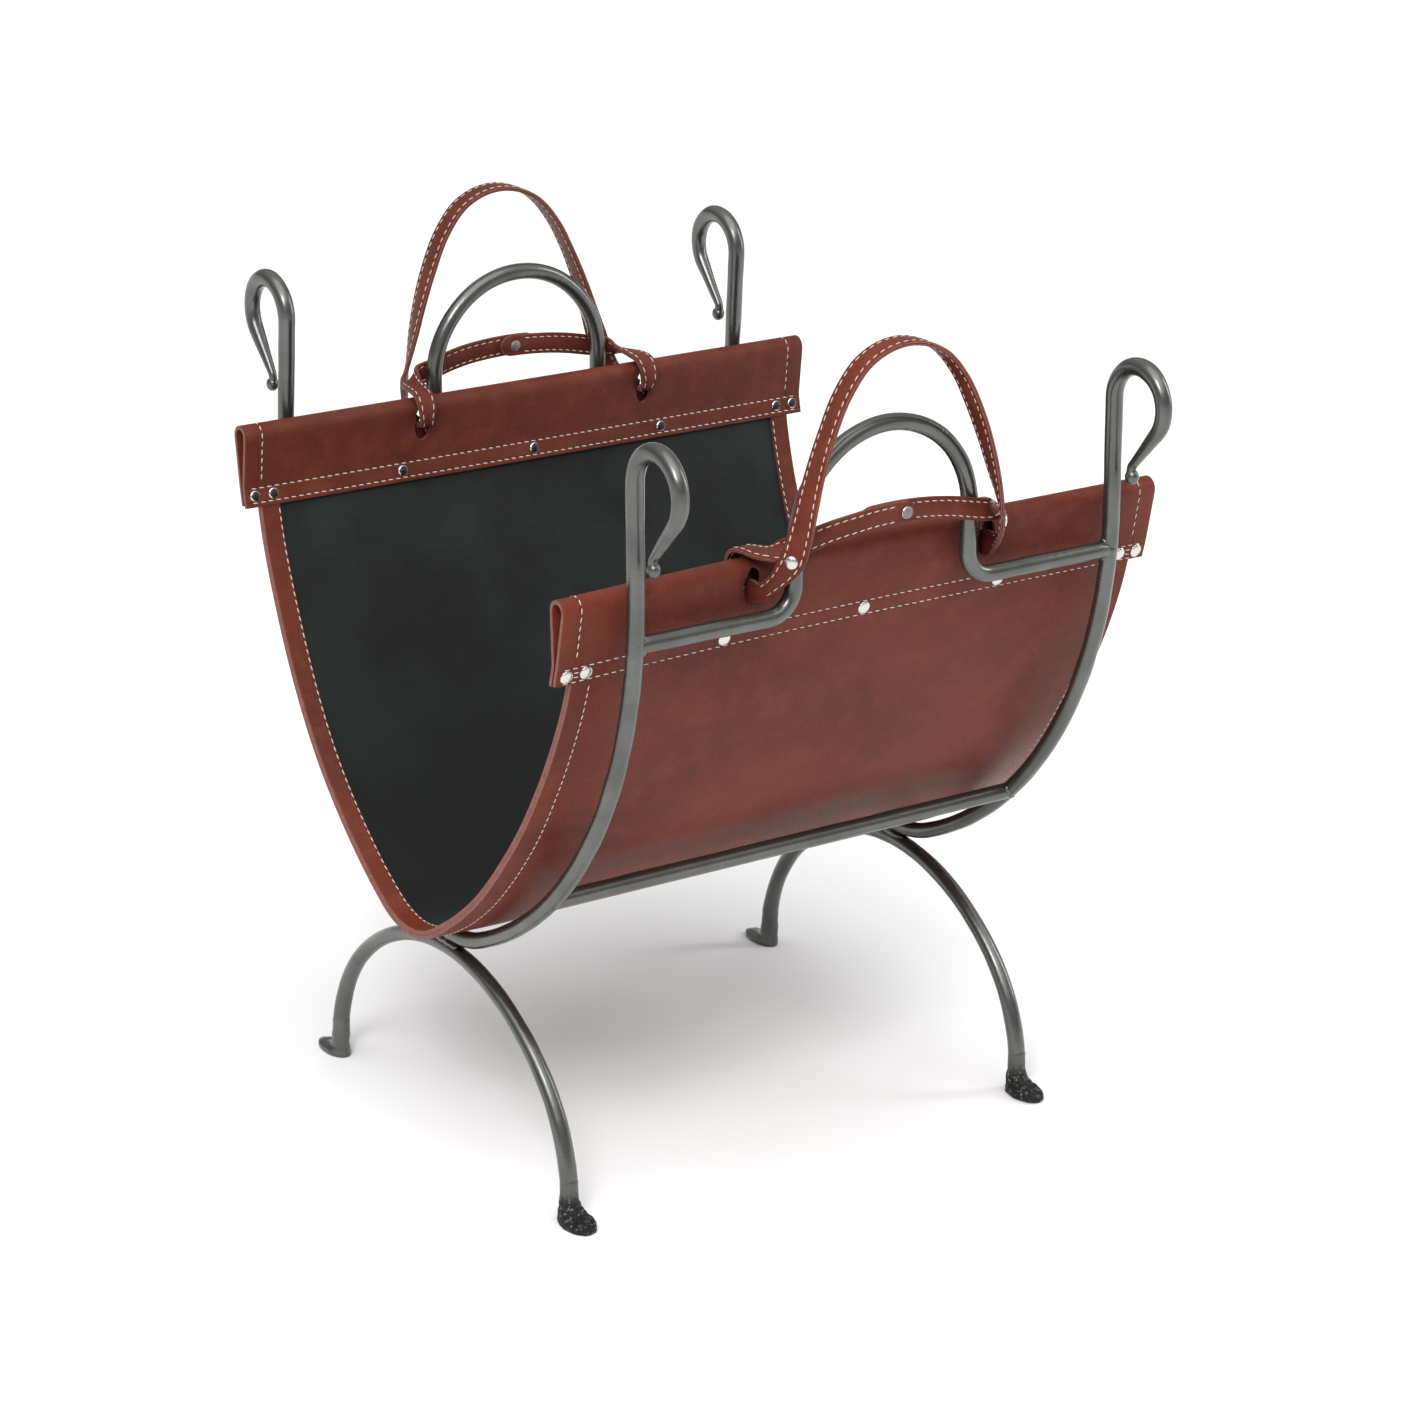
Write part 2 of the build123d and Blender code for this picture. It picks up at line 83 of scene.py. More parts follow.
class NodeTree:
    """Adds nodes to one tree; each value that comes out of a node is a Wire."""

    def __init__(self, tree):
        self.tree = tree

    def node(self, kind, settings=None, inputs=None, output=0):
        """Any node: its settings or ramp stops first, then values or links for its sockets."""
        made = self.tree.nodes.new(kind)
        for key, value in (settings or {}).items():
            if key == "stops":
                ramp = made.color_ramp
                while len(ramp.elements) < len(value):
                    ramp.elements.new(1.0)
                for element, (position, colour) in zip(ramp.elements, value):
                    element.position = position
                    element.color = (*colour, 1.0)
            else:
                setattr(made, key, value)
        for key, value in (inputs or {}).items():
            if isinstance(value, Wire):
                self.tree.links.new(value.socket, made.inputs[key])
            else:
                made.inputs[key].default_value = value
        return Wire(self, made.outputs[output])


class Finish(NodeTree):
    """A material under construction: a Principled shader, its nodes, and the object's own coordinates."""

    def __init__(self, name, **constants):
        self.material = bpy.data.materials.new(name)
        self.material.use_nodes = True
        super().__init__(self.material.node_tree)
        self.shader = next(n for n in self.tree.nodes if n.type == "BSDF_PRINCIPLED")
        for socket, value in constants.items():
            self.shader.inputs[socket.replace("_", " ")].default_value = value
        self.place = self.node("ShaderNodeTexCoord", output="Object")

    def blotches(self, scale, detail, roughness):
        """Soft cloudy variation from 0 to 1; scale is in cycles per metre."""
        inputs = {"Vector": self.place, "Scale": scale, "Detail": detail, "Roughness": roughness}
        return self.node("ShaderNodeTexNoise", {}, inputs)

    def step(self, value, low, high, start=0.0, end=1.0):
        """value eased from low..high to start..end."""
        inputs = {0: value, 1: low, 2: high, 3: start, 4: end}
        return self.node("ShaderNodeMapRange", {"interpolation_type": "SMOOTHSTEP"}, inputs)

    def blend_colour(self, amount, first, second):
        """first where amount is 0, second where it is 1; 6 and 7 are the mix node's colour sockets."""
        colours = {0: amount}
        for key, colour in ((6, first), (7, second)):
            colours[key] = colour if isinstance(colour, Wire) else (*colour, 1.0)
        return self.node("ShaderNodeMix", {"data_type": "RGBA"}, colours, 2)

    def axis(self, name):
        """One coordinate of the place on the object."""
        return self.node("ShaderNodeSeparateXYZ", {}, {0: self.place}, name)

    def set(self, **links):
        for socket, value in links.items():
            self.tree.links.new(value.socket, self.shader.inputs[socket.replace("_", " ")])

    def raised(self, height, distance, strength):
        """Relief from a height of 0 to 1, distance metres deep."""
        inputs = {"Height": height, "Distance": distance, "Strength": strength}
        return self.node("ShaderNodeBump", {}, inputs)


steel = Finish("forged_steel", Metallic=0.85, Coat_Roughness=0.22, Coat_Weight=0.18)
scale_patches = steel.step(steel.blotches(30.0, 4.0, 0.55), 0.30, 0.75)
fine_scale = steel.blotches(900.0, 3.0, 0.6)
hammer_marks = steel.blotches(130.0, 2.0, 0.45)
dark_scale = (0.088, 0.091, 0.086)
rubbed_steel = (0.128, 0.132, 0.124)
steel_colour = steel.blend_colour(scale_patches, dark_scale, rubbed_steel)
steel_colour = steel.blend_colour(fine_scale * 0.18, steel_colour, (0.20, 0.205, 0.19))
steel.set(
    Base_Color=steel_colour,
    Roughness=0.31 - scale_patches * 0.05 + (fine_scale - 0.5) * 0.06,
    Normal=steel.raised(hammer_marks * 0.8 + fine_scale * 0.03, 0.0007, 0.3),
)


def clear_selection():
    if bpy.context.mode != "OBJECT":
        bpy.ops.object.mode_set(mode="OBJECT")
    bpy.ops.object.select_all(action="DESELECT")


def make_active(piece):
    clear_selection()
    piece.select_set(True)
    bpy.context.view_layer.objects.active = piece


def edit(kind="VERT"):
    """Edit mode with vertices, edges or faces picked."""
    bpy.context.tool_settings.mesh_select_mode = (kind == "VERT", kind == "EDGE", kind == "FACE")
    bpy.ops.object.mode_set(mode="EDIT")


def apply_modifiers(piece):
    make_active(piece)
    for modifier in list(piece.modifiers):
        bpy.ops.object.modifier_apply(modifier=modifier.name)


def settle(piece):
    """Put the piece's place into its mesh, so that its object sits at the origin."""
    make_active(piece)
    bpy.ops.object.transform_apply(location=True, rotation=True, scale=True)


def smooth(piece, degrees):
    make_active(piece)
    bpy.ops.object.shade_smooth_by_angle(angle=math.radians(degrees))


def forge_skin(piece, depth, size, seed):
    """The slight unevenness of hammered metal, moved into the mesh."""
    for vertex in piece.data.vertices:
        at = vertex.co / size + Vector((seed, 1.7 * seed, 0.3 * seed))
        vertex.co += vertex.normal * noise.noise(at) * depth


def bend_bar(name, start, ahead, radius, moves, sides=28):
    """A round bar drawn out ring by ring. A move is ("run", length, rings, end radius) or
    ("turn", centre, axis, degrees, rings, end radius)."""
    clear_selection()
    start = Vector(start)
    ahead = Vector(ahead).normalized()
    turn = Vector((0, 0, 1)).rotation_difference(ahead).to_euler()
    bpy.ops.mesh.primitive_circle_add(vertices=sides, radius=radius, location=start, rotation=turn)
    piece = bpy.context.object
    piece.name = name
    bpy.ops.object.transform_apply(location=True, rotation=True, scale=True)
    edit()
    bpy.ops.mesh.select_all(action="SELECT")
    middle = start.copy()
    thick = radius
    for move in moves:
        rings, end_radius = move[-2:]
        for ring in range(rings):
            if move[0] == "run":
                shift = ahead * move[1] / rings
                bpy.ops.mesh.extrude_region_move(TRANSFORM_OT_translate={"value": shift})
                middle = middle + shift
            else:
                centre, axis, degrees = Vector(move[1]), Vector(move[2]), move[3]
                step = math.radians(degrees) / rings
                bpy.ops.mesh.spin(steps=1, angle=-step, center=centre, axis=axis)
                rotation = Matrix.Rotation(step, 3, axis)
                middle = centre + rotation @ (middle - centre)
                ahead = rotation @ ahead
            wanted = thick + (end_radius - thick) / (rings - ring)
            if abs(wanted - thick) > 1e-7:
                grow = wanted / thick
                bpy.ops.transform.resize(value=(grow, grow, grow), center_override=middle)
                thick = wanted
    bpy.ops.mesh.select_all(action="DESELECT")
    bpy.ops.mesh.select_non_manifold()
    bpy.ops.mesh.edge_face_add()
    bpy.ops.mesh.select_all(action="SELECT")
    bpy.ops.mesh.normals_make_consistent(inside=False)
    bpy.ops.object.mode_set(mode="OBJECT")
    return piece, middle, ahead


BAR = 0.005
HOOP_X = 0.164
hoop_low = 0.132
hoop_low_r = 0.085
hoop_low_turn = 24.6
hoop_side_r = 0.268
hoop_side_turn = 92.5
hoop_top = 0.459
crook_r = 0.0215
crook_turn = 222.0
tail_length = 0.029
tip_r = BAR * 0.54
curl_r = 0.0065
curl_turn = 70.0
curl_end_r = 0.0026
ball_r = 0.0041


def hoop_half(x, side):
    """Half a hoop, from the middle of its bottom to the ball of its crook."""
    axis = Vector((side, 0, 0))
    low_centre = Vector((x, 0, hoop_low + hoop_low_r))
    a = math.radians(hoop_low_turn)
    reach = hoop_side_r - hoop_low_r
    side_centre = low_centre + Vector((0, -side * reach * math.sin(a), reach * math.cos(a)))
    b = math.radians(hoop_side_turn)
    lean = Vector((0, side * math.cos(b), math.sin(b)))
    lean_start = side_centre + Vector((0, side * hoop_side_r * math.sin(b), -hoop_side_r * math.cos(b)))
    run = (hoop_top - lean_start.z) / lean.z
    top = lean_start + lean * run
    across = Vector((0, side * math.sin(b), -math.cos(b)))
    loop_centre = top + across * crook_r
    # The bar is a little thick over the crown and thins out along the tail.
    moves = [
        ("turn", low_centre, axis, hoop_low_turn, 10, BAR),
        ("turn", side_centre, axis, hoop_side_turn - hoop_low_turn, 44, BAR),
        ("run", run, 14, BAR * 1.03),
        ("turn", loop_centre, axis, -crook_turn / 2, 16, BAR * 1.1),
        ("turn", loop_centre, axis, -crook_turn / 2, 16, BAR * 0.9),
        ("run", tail_length, 10, tip_r),
    ]
    return bend_bar("hoop_half", (x, 0, hoop_low), (0, side, 0), BAR, moves)


def curl_tip(side, tip, ahead):
    """The small outward curl below a crook, with its ball."""
    out = Vector((0, -side * ahead.z, side * ahead.y))
    moves = [("turn", tip + out * curl_r, Vector((side, 0, 0)), curl_turn, 10, curl_end_r)]
    curl, ball_at, _ = bend_bar("curl", tip, ahead, tip_r, moves, 20)
    clear_selection()
    bpy.ops.mesh.primitive_uv_sphere_add(segments=24, ring_count=16, radius=ball_r, location=ball_at)
    ball = bpy.context.object
    ball.scale = (0.95, 1.0, 1.08)
    settle(ball)
    return curl, ball


def join(parts, name):
    clear_selection()
    for part in parts:
        part.select_set(True)
    bpy.context.view_layer.objects.active = parts[0]
    bpy.ops.object.join()
    parts[0].name = name
    return parts[0]


def set_steel(piece, nodes, degrees=60, finish=steel):
    """The last steps on every steel piece: smooth shading, its finish, and the nodes it stands for."""
    smooth(piece, degrees)
    piece.data.materials.append(finish.material)
    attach(piece, "stand")
    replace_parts(piece, *nodes)


for end_name, x, seed in (("left", -HOOP_X, 3.0), ("right", HOOP_X, 11.0)):
    parts = []
    for side in (-1, 1):
        half, tip, ahead = hoop_half(x, side)
        parts.extend((half, *curl_tip(side, tip, ahead)))
    hoop = join(parts, f"{end_name}_hoop_with_crooks")
    make_active(hoop)
    edit()
    bpy.ops.mesh.select_all(action="SELECT")
    bpy.ops.mesh.remove_doubles(threshold=0.00002)
    bpy.ops.object.mode_set(mode="OBJECT")
    forge_skin(hoop, 0.00028, 0.018, seed)
    set_steel(hoop, (f"{end_name}_hoop", f"{end_name}_front_crook", f"{end_name}_back_crook"))

# Top rails: one bar on each long side, butt-welded between the uprights and bent in the
# middle into a half-round handle arch.
RAIL_Y = 0.1914
RAIL_Z = 0.369
rail_bend = 0.017
arch_r = 0.060
arch_centre = 0.409
# Each rail end is ground to a blunt taper to seat on the round upright.
end_gap, end_length, end_r = 0.0005, 0.003, BAR * 0.80


def bend_top_rail(name, y):
    bend_x = arch_r + rail_bend
    bend_z = RAIL_Z + rail_bend
    across = Vector((0, 1, 0))
    straight = ("run", HOOP_X - end_gap - bend_x - end_length, 14, BAR)
    moves = [
        ("run", end_length, 2, BAR),
        straight,
        ("turn", (-bend_x, y, bend_z), across, -90.0, 12, BAR),
        ("run", arch_centre - bend_z, 5, BAR),
        ("turn", (0, y, arch_centre), across, 180.0, 44, BAR),
        ("run", arch_centre - bend_z, 5, BAR),
        ("turn", (bend_x, y, bend_z), across, -90.0, 12, BAR),
        straight,
        ("run", end_length, 2, end_r),
    ]
    rail, _, _ = bend_bar(name, (-HOOP_X + end_gap, y, RAIL_Z), (1, 0, 0), end_r, moves)
    return rail


for side_name, side, seed in (("front", -1, 5.0), ("back", 1, 8.0)):
    rail = bend_top_rail(f"{side_name}_top_rail", side * RAIL_Y)
    forge_skin(rail, 0.00025, 0.02, seed)
    set_steel(rail, (f"{side_name}_handle_rail",))

# Lower rails: two straight bars between the hoops that keep the stand square.
LOW_RAIL_Y = 0.1114
LOW_RAIL_Z = 0.192
for side_name, side, seed in (("front", -1, 21.0), ("back", 1, 24.0)):
    start = (-HOOP_X + end_gap, side * LOW_RAIL_Y, LOW_RAIL_Z)
    length = 2 * (HOOP_X - end_gap - end_length)
    moves = [("run", end_length, 2, BAR), ("run", length, 60, BAR), ("run", end_length, 2, end_r)]
    rail, _, _ = bend_bar(f"{side_name}_bottom_rail", start, (1, 0, 0), end_r, moves)
    forge_skin(rail, 0.00028, 0.022, seed)
    set_steel(rail, (f"{side_name}_lower_rail",))

# Leg arches: one bar under each hoop, bent to a half ellipse from three arcs. Each end is
# hammered out hot into a flat foot that points outwards; the front feet are left rougher.
leg_crown_z = 0.122
leg_crown_r = 0.1464
leg_side_r = 0.1006
ankle_z = 0.024
ankle_r = BAR * 1.08
# the height below which a foot is flattened into its pad
pad_top = 0.0110
# height, middle of the foot outwards from the ankle, half width in X, half length in Y
foot_rings = (
    (0.0248, 0.0000, 0.0054, 0.0054),
    (0.0230, 0.0000, 0.0054, 0.0054),
    (0.0205, 0.0001, 0.0054, 0.0054),
    (0.0165, 0.0003, 0.0055, 0.0055),
    (0.0130, 0.0006, 0.0058, 0.0058),
    (0.0102, 0.0014, 0.0065, 0.0067),
    (0.0080, 0.0028, 0.0074, 0.0083),
    (0.0064, 0.0051, 0.0084, 0.0108),
    (0.0053, 0.0075, 0.0092, 0.0134),
    (0.0040, 0.0088, 0.0097, 0.0149),
    (0.0020, 0.0090, 0.0098, 0.0152),
    (0.0000, 0.0086, 0.0092, 0.0145),
)

# The front feet keep a black, pitted hammer scale, which fades out up the ankle.
pitted = Finish("pitted_scale", Metallic=0.75)
pits = pitted.blotches(420.0, 5.0, 0.7)
bright_tips = pitted.step(pits, 0.52, 0.66)
worn_off = pitted.step(pitted.axis("Z") + (pits - 0.5) * 0.012, 0.011, 0.021)
scale_colour = pitted.blend_colour(bright_tips, (0.018, 0.018, 0.017), (0.21, 0.21, 0.20))
pitted.set(
    Base_Color=pitted.blend_colour(worn_off, scale_colour, (0.108, 0.112, 0.105)),
    Roughness=0.34 + (1 - worn_off) * (0.2 - bright_tips * 0.22),
    Normal=pitted.raised(pits * (1 - worn_off), 0.0016, 0.8),
)


def hammer_foot(x, side, ankle_y, rough, drawn, seed):
    """A foot on the end of a leg bar; drawn is how thin and narrow its pad was drawn out."""
    clear_selection()
    # The neck starts inside the leg bar, so that the two run into one another.
    neck_z, neck_r = ankle_z + 0.003, BAR * 0.9
    bpy.ops.mesh.primitive_circle_add(vertices=40, radius=neck_r, location=(x, side * ankle_y, neck_z))
    piece = bpy.context.object
    bpy.ops.object.transform_apply(location=True, rotation=True, scale=True)
    edit()
    bpy.ops.mesh.select_all(action="SELECT")
    last = (neck_z, 0.0, neck_r, neck_r)
    height, out, wide, long = last
    rings = []
    # Each stretch is drawn out in two pulls, so that the hammer marks have metal to move.
    for ring in foot_rings:
        if ring[0] < pad_top:
            ring = (ring[0] * drawn, ring[1], ring[2] * (1 + drawn) / 2, ring[3])
        middle_ring = tuple((a + b) / 2 for a, b in zip(last, ring))
        rings.extend((middle_ring, ring))
        last = ring
    for ring in rings:
        shift = (0, side * (ring[1] - out), ring[0] - height)
        bpy.ops.mesh.extrude_region_move(TRANSFORM_OT_translate={"value": shift})
        height, out = ring[0], ring[1]
        middle = (x, side * (ankle_y + out), height)
        bpy.ops.transform.resize(value=(ring[2] / wide, ring[3] / long, 1), center_override=middle)
        wide, long = ring[2], ring[3]
    # The sole is closed by two smaller rings and a point.
    bpy.ops.mesh.extrude_region_move(TRANSFORM_OT_translate={"value": (0, 0, 0)})
    for scale in (0.75, 0.6):
        bpy.ops.transform.resize(value=(scale, scale, 1), center_override=middle)
        bpy.ops.mesh.extrude_region_move(TRANSFORM_OT_translate={"value": (0, 0, 0)})
    bpy.ops.mesh.edge_collapse()
    bpy.ops.mesh.select_all(action="SELECT")
    bpy.ops.mesh.remove_doubles(threshold=0.00001)
    bpy.ops.mesh.fill_holes(sides=0)
    bpy.ops.mesh.normals_make_consistent(inside=False)
    bpy.ops.object.mode_set(mode="OBJECT")
    top = ankle_z - 0.002
    for vertex in piece.data.vertices:
        fade = min(1.0, max(0.0, (top - vertex.co.z) / 0.012))
        at = vertex.co / 0.0042 + Vector((seed, seed, seed))
        lump = noise.noise(at) + 0.5 * noise.noise(at * 2.1)
        move = vertex.normal * lump * rough * fade
        if vertex.co.z < 0.0008:
            move.z = 0.0
        vertex.co += move
        vertex.co.z = max(vertex.co.z, 0.0)
    return piece


# The crown arc spans 90 degrees, and a tighter arc carries on from it on each side to the ankle.
reach = (leg_crown_r - leg_side_r) * math.sqrt(0.5)
side_z = leg_crown_z - leg_crown_r + reach
rise = math.asin((ankle_z - side_z) / leg_side_r)
ankle_y = reach + leg_side_r * math.cos(rise)
fall = 45.0 - math.degrees(rise)
out = Vector((1, 0, 0))
up = (0, -math.sin(rise), math.cos(rise))
for end_name, x, seed in (("left", -HOOP_X, 31.0), ("right", HOOP_X, 37.0)):
    moves = [
        ("turn", (x, -reach, side_z), out, -fall, 26, BAR),
        ("turn", (x, 0, leg_crown_z - leg_crown_r), out, -90.0, 44, BAR),
        ("turn", (x, reach, side_z), out, -fall, 26, ankle_r),
    ]
    leg, _, _ = bend_bar(f"{end_name}_leg_bar", (x, -ankle_y, ankle_z), up, ankle_r, moves)
    forge_skin(leg, 0.00028, 0.02, seed)
    set_steel(leg, (f"{end_name}_leg_arch",))
    for side_name, side, rough, drawn in (("front", -1, 0.0009, 0.92), ("back", 1, 0.0004, 0.66)):
        foot = hammer_foot(x, side, ankle_y, rough, drawn, seed + side)
        foot.name = f"{end_name}_{side_name}_hammered_foot"
        set_steel(foot, (f"{end_name}_{side_name}_foot",), 50, pitted if side < 0 else steel)

# Weld beads: the rails are run round with weld where they butt the uprights, and each hoop
# is welded to the crown of its leg arch along both sides. Left as welded, under the wax.
weld_ring_r = 0.0052
weld_thick = 0.0016
crown_bead = (0.0024, 0.0125, 0.0022)
crown_bead_x = 0.0032


def weld_ring(x, y, z, lean, seed):
    """The bead round a rail's end, fitted to an upright whose bar runs lean degrees from level."""
    side = 1 if x > 0 else -1
    clear_selection()
    bpy.ops.mesh.primitive_torus_add(
        major_radius=weld_ring_r, minor_radius=weld_thick, major_segments=48, minor_segments=12,
        location=(x - side * (BAR - 0.0004), y, z), rotation=(0, math.pi / 2, 0))
    ring = bpy.context.object
    settle(ring)
    lean = math.radians(lean)
    across = Vector((math.copysign(math.sin(lean), y), -math.cos(lean)))
    for vertex in ring.data.vertices:
        spoke = Vector((vertex.co.y - y, vertex.co.z - z))
        off = min(abs(spoke.dot(across)), BAR)
        vertex.co.x += side * (BAR - math.sqrt(BAR * BAR - off * off)) * 0.9
        # The bead thins to nothing where the two round bars are flush.
        thin = 1 - 0.85 * (off / BAR) ** 2
        spoke *= (BAR + (spoke.length - BAR) * thin) / spoke.length
        vertex.co.y, vertex.co.z = y + spoke.x, z + spoke.y
    forge_skin(ring, 0.0005, 0.0035, seed)
    return ring


for name, rail_y, rail_z, lean, node in (
        ("top_rail_weld_beads", RAIL_Y, RAIL_Z, 90.0, "top_rail_welds"),
        ("bottom_rail_weld_beads", LOW_RAIL_Y, LOW_RAIL_Z, 44.4, "lower_rail_welds")):
    rings = []
    for x in (-HOOP_X, HOOP_X):
        for side in (-1, 1):
            rings.append(weld_ring(x, side * rail_y, rail_z, lean, 40.0 + 3 * side + 50 * x))
    set_steel(join(rings, name), (node,))

crown_beads = []
for x in (-HOOP_X, HOOP_X):
    for side in (-1, 1):
        clear_selection()
        at = (x + side * crown_bead_x, 0, hoop_low - BAR)
        bpy.ops.mesh.primitive_uv_sphere_add(segments=40, ring_count=20, radius=1, location=at)
        bead = bpy.context.object
        bead.scale = crown_bead
        settle(bead)
        forge_skin(bead, 0.0009, 0.004, 60 + side + 10 * x)
        crown_beads.append(bead)
set_steel(join(crown_beads, "leg_weld_beads"), ("leg_welds",))

# Carrier leather: one long piece of waxed harness leather with a wider tab at each end. It is
# cut and slotted flat, hung in a U between the top rails, and each end is folded over inwards
# into an open hem. Every piece of the carrier is laid out flat and hung by the same curve.
LEATHER = 0.0024
LINING = 0.0012
BINDING = 0.0018
SLING_HALF = 0.1935
HEM_HALF = 0.204
seam_z = 0.366
flap_z = 0.354
hem_y = 0.176
hem_r = 0.007
hem_side_z = 0.397
low_r, low_turn = 0.055, math.radians(32)
side_r, side_turn = 0.325, math.radians(77)
low_z = 0.1375
even_droop, left_droop = 0.0015, 0.0050
side_y = (low_r - side_r) * math.sin(low_turn)
side_centre_z = low_z + low_r + (side_r - low_r) * math.cos(low_turn)


def straight_top(depth, z):
    """Where the straight stretch above the side curve passes height z."""
    y = side_y + (side_r - depth) * math.sin(side_turn)
    height = side_centre_z - (side_r - depth) * math.cos(side_turn)
    return np.array((y + (z - height) / math.tan(side_turn), z))


def carrier_curve():
    """The grain side of the leather from the middle of the bottom over the back hem to its flap."""

    def arc(centre, radius, start, end, steps):
        a = np.linspace(start, end, steps)
        return np.stack((centre[0] + radius * np.sin(a), centre[1] - radius * np.cos(a)), 1)

    bottom = arc((0, low_z + low_r), low_r, 0, low_turn, 60)
    side = arc((side_y, side_centre_z), side_r, low_turn, side_turn, 300)
    seam_out = straight_top(0, seam_z)
    seam_in = straight_top(2 * LEATHER + LINING, seam_z)
    fold = arc((hem_y, hem_side_z), hem_r, math.pi / 2, math.pi * 3 / 2, 60)
    end = straight_top(2 * LEATHER + LINING, flap_z)
    points = np.concatenate((bottom, side[1:], [seam_out], fold, [seam_in], [end]))
    along = np.concatenate(([0], np.cumsum(np.linalg.norm(np.diff(points, axis=0), axis=1))))
    return points, along


half_points, half_along = carrier_curve()
FLAT_HALF = half_along[-1]
curve_s = np.linspace(-FLAT_HALF, FLAT_HALF, 6401)
curve_y = np.interp(abs(curve_s), half_along, half_points[:, 0]) * np.sign(curve_s)
curve_z = np.interp(abs(curve_s), half_along, half_points[:, 1])
# Leather eases round the corners of its path, over this many steps each way.
ease_reach = 24
ease = np.exp(-0.5 * np.linspace(-3, 3, 2 * ease_reach + 1) ** 2)
ease /= ease.sum()


def eased(values):
    before = 2 * values[0] - values[ease_reach:0:-1]
    after = 2 * values[-1] - values[-2:-ease_reach - 2:-1]
    return np.convolve(np.concatenate((before, values, after)), ease, "valid")


curve_y, curve_z = eased(curve_y), eased(curve_z)
curve_ty, curve_tz = np.gradient(curve_y), np.gradient(curve_z)
curve_step = np.hypot(curve_ty, curve_tz)
curve_ty, curve_tz = curve_ty / curve_step, curve_tz / curve_step


def along_at(z, wall="outer"):
    """How far along the flat leather, from the middle, a height on the back side lies."""
    half = len(curve_s) // 2
    top = half + int(np.argmax(curve_z[half:]))
    if wall == "outer":
        return float(np.interp(z, curve_z[half:top], curve_s[half:top]))
    return float(np.interp(-z, -curve_z[top:], curve_s[top:]))


SEAM_S = along_at(seam_z)
WING_S = along_at(flap_z)


def ramp(value, start, width):
    """0 up to start, 1 from start + width, straight in between."""
    return np.clip((value - start) / width, 0, 1)


def rounded(t):
    return t * t * (3 - 2 * t)


def hang(flat):
    """Carries points from the flat (across, along, depth below the grain) to the hung carrier."""
    x, s, depth = flat[:, 0], flat[:, 1], flat[:, 2]
    y = np.interp(s, curve_s, curve_y)
    z = np.interp(s, curve_s, curve_z)
    ty = np.interp(s, curve_s, curve_ty)
    tz = np.interp(s, curve_s, curve_tz)
    # The panel hangs a little slack between the hoops and its two hems, in slow uneven waves.
    loose = rounded(ramp(abs(s), 0.075, 0.07) * ramp(-abs(s), 0.01 - SEAM_S, 0.07))
    turn = np.where(s > 0, 1.9, 0.0)
    slack = 0.5 + 0.28 * np.sin(x * 21 + turn) + 0.22 * np.sin(x * 37 + s * 23 + 1.1 + turn)
    slack += 0.18 * np.sin(x * 11 - s * 31 + turn * 2)
    # Inside the hoops its own weight bellies it out low down on both sides.
    inside = rounded(ramp(-abs(x), -0.200, 0.045))
    belly = rounded(ramp(abs(s), 0.012, 0.05)) * (1 - rounded(ramp(abs(s), 0.13, 0.09)))
    inward = depth + 0.0024 * slack * loose - 0.0042 * inside * belly
    # The front hem droops towards the left, where nothing holds it up past the hoop.
    left = ramp(-x, -0.06, 0.26)
    droop = (even_droop + left_droop * left * left) * ramp(-s, 0.20, 0.09)
    return np.stack((x, y - tz * inward, z + ty * inward - droop), 1)


def place_flat(piece, lay):
    """Moves a flat mesh through lay, and keeps its flat places for the finish to follow."""
    mesh = piece.data
    flat = np.empty(len(mesh.vertices) * 3)
    mesh.vertices.foreach_get("co", flat)
    mesh.attributes.new("flat", "FLOAT_VECTOR", "POINT").data.foreach_set("vector", flat)
    mesh.vertices.foreach_set("co", lay(flat.reshape(-1, 3)).ravel())
    mesh.update()


hide = Finish("waxed_leather", Specular_IOR_Level=0.14)
pull_up = hide.step(hide.blotches(9.0, 3.0, 0.55), 0.30, 0.72)
mottle = hide.blotches(60.0, 5.0, 0.6)
pores = hide.node("ShaderNodeTexVoronoi", {"feature": "SMOOTH_F1"}, {"Vector": hide.place, "Scale": 1100.0})
net = {"Vector": hide.place, "Scale": 520.0}
creases = hide.node("ShaderNodeTexVoronoi", {"feature": "DISTANCE_TO_EDGE"}, net)
cells = hide.step(creases, 0.0, 0.14)
on_flat = hide.node("ShaderNodeAttribute", {"attribute_name": "flat"}, None, "Vector")
flat_x = abs(hide.node("ShaderNodeSeparateXYZ", {}, {0: on_flat}, "X"))
flat_s = hide.node("ShaderNodeSeparateXYZ", {}, {0: on_flat}, "Y")
# the stitch rows: across the ends of the hems, along the bindings, and the two along each hem
END_ROW_X = 0.1925
BINDING_ROW_X = 0.1818
hem_rows = []
for side, row_z in ((-1, (0.3635, 0.3550)), (1, (0.3650, 0.3565))):
    hem_rows.extend(side * along_at(z, wall) for z in row_z for wall in ("outer", "inner"))


def channel(value, at, half_width=0.0011):
    """1 on a line where value equals at, falling to 0 beside it."""
    return hide.step(abs(value - at), 0.0, half_width, 1.0, 0.0)


in_hem = hide.step(abs(flat_s), SEAM_S, SEAM_S + 0.001)
stitch_line = channel(flat_x, END_ROW_X) * in_hem + channel(flat_x, BINDING_ROW_X) * (1 - in_hem)
for row in hem_rows:
    stitch_line = stitch_line + channel(flat_s, row)
deep_brown = (0.092, 0.0180, 0.0095)
red_brown = (0.155, 0.0290, 0.0145)
worn_brown = (0.205, 0.0500, 0.0300)
hide_colour = hide.blend_colour(pull_up, deep_brown, red_brown)
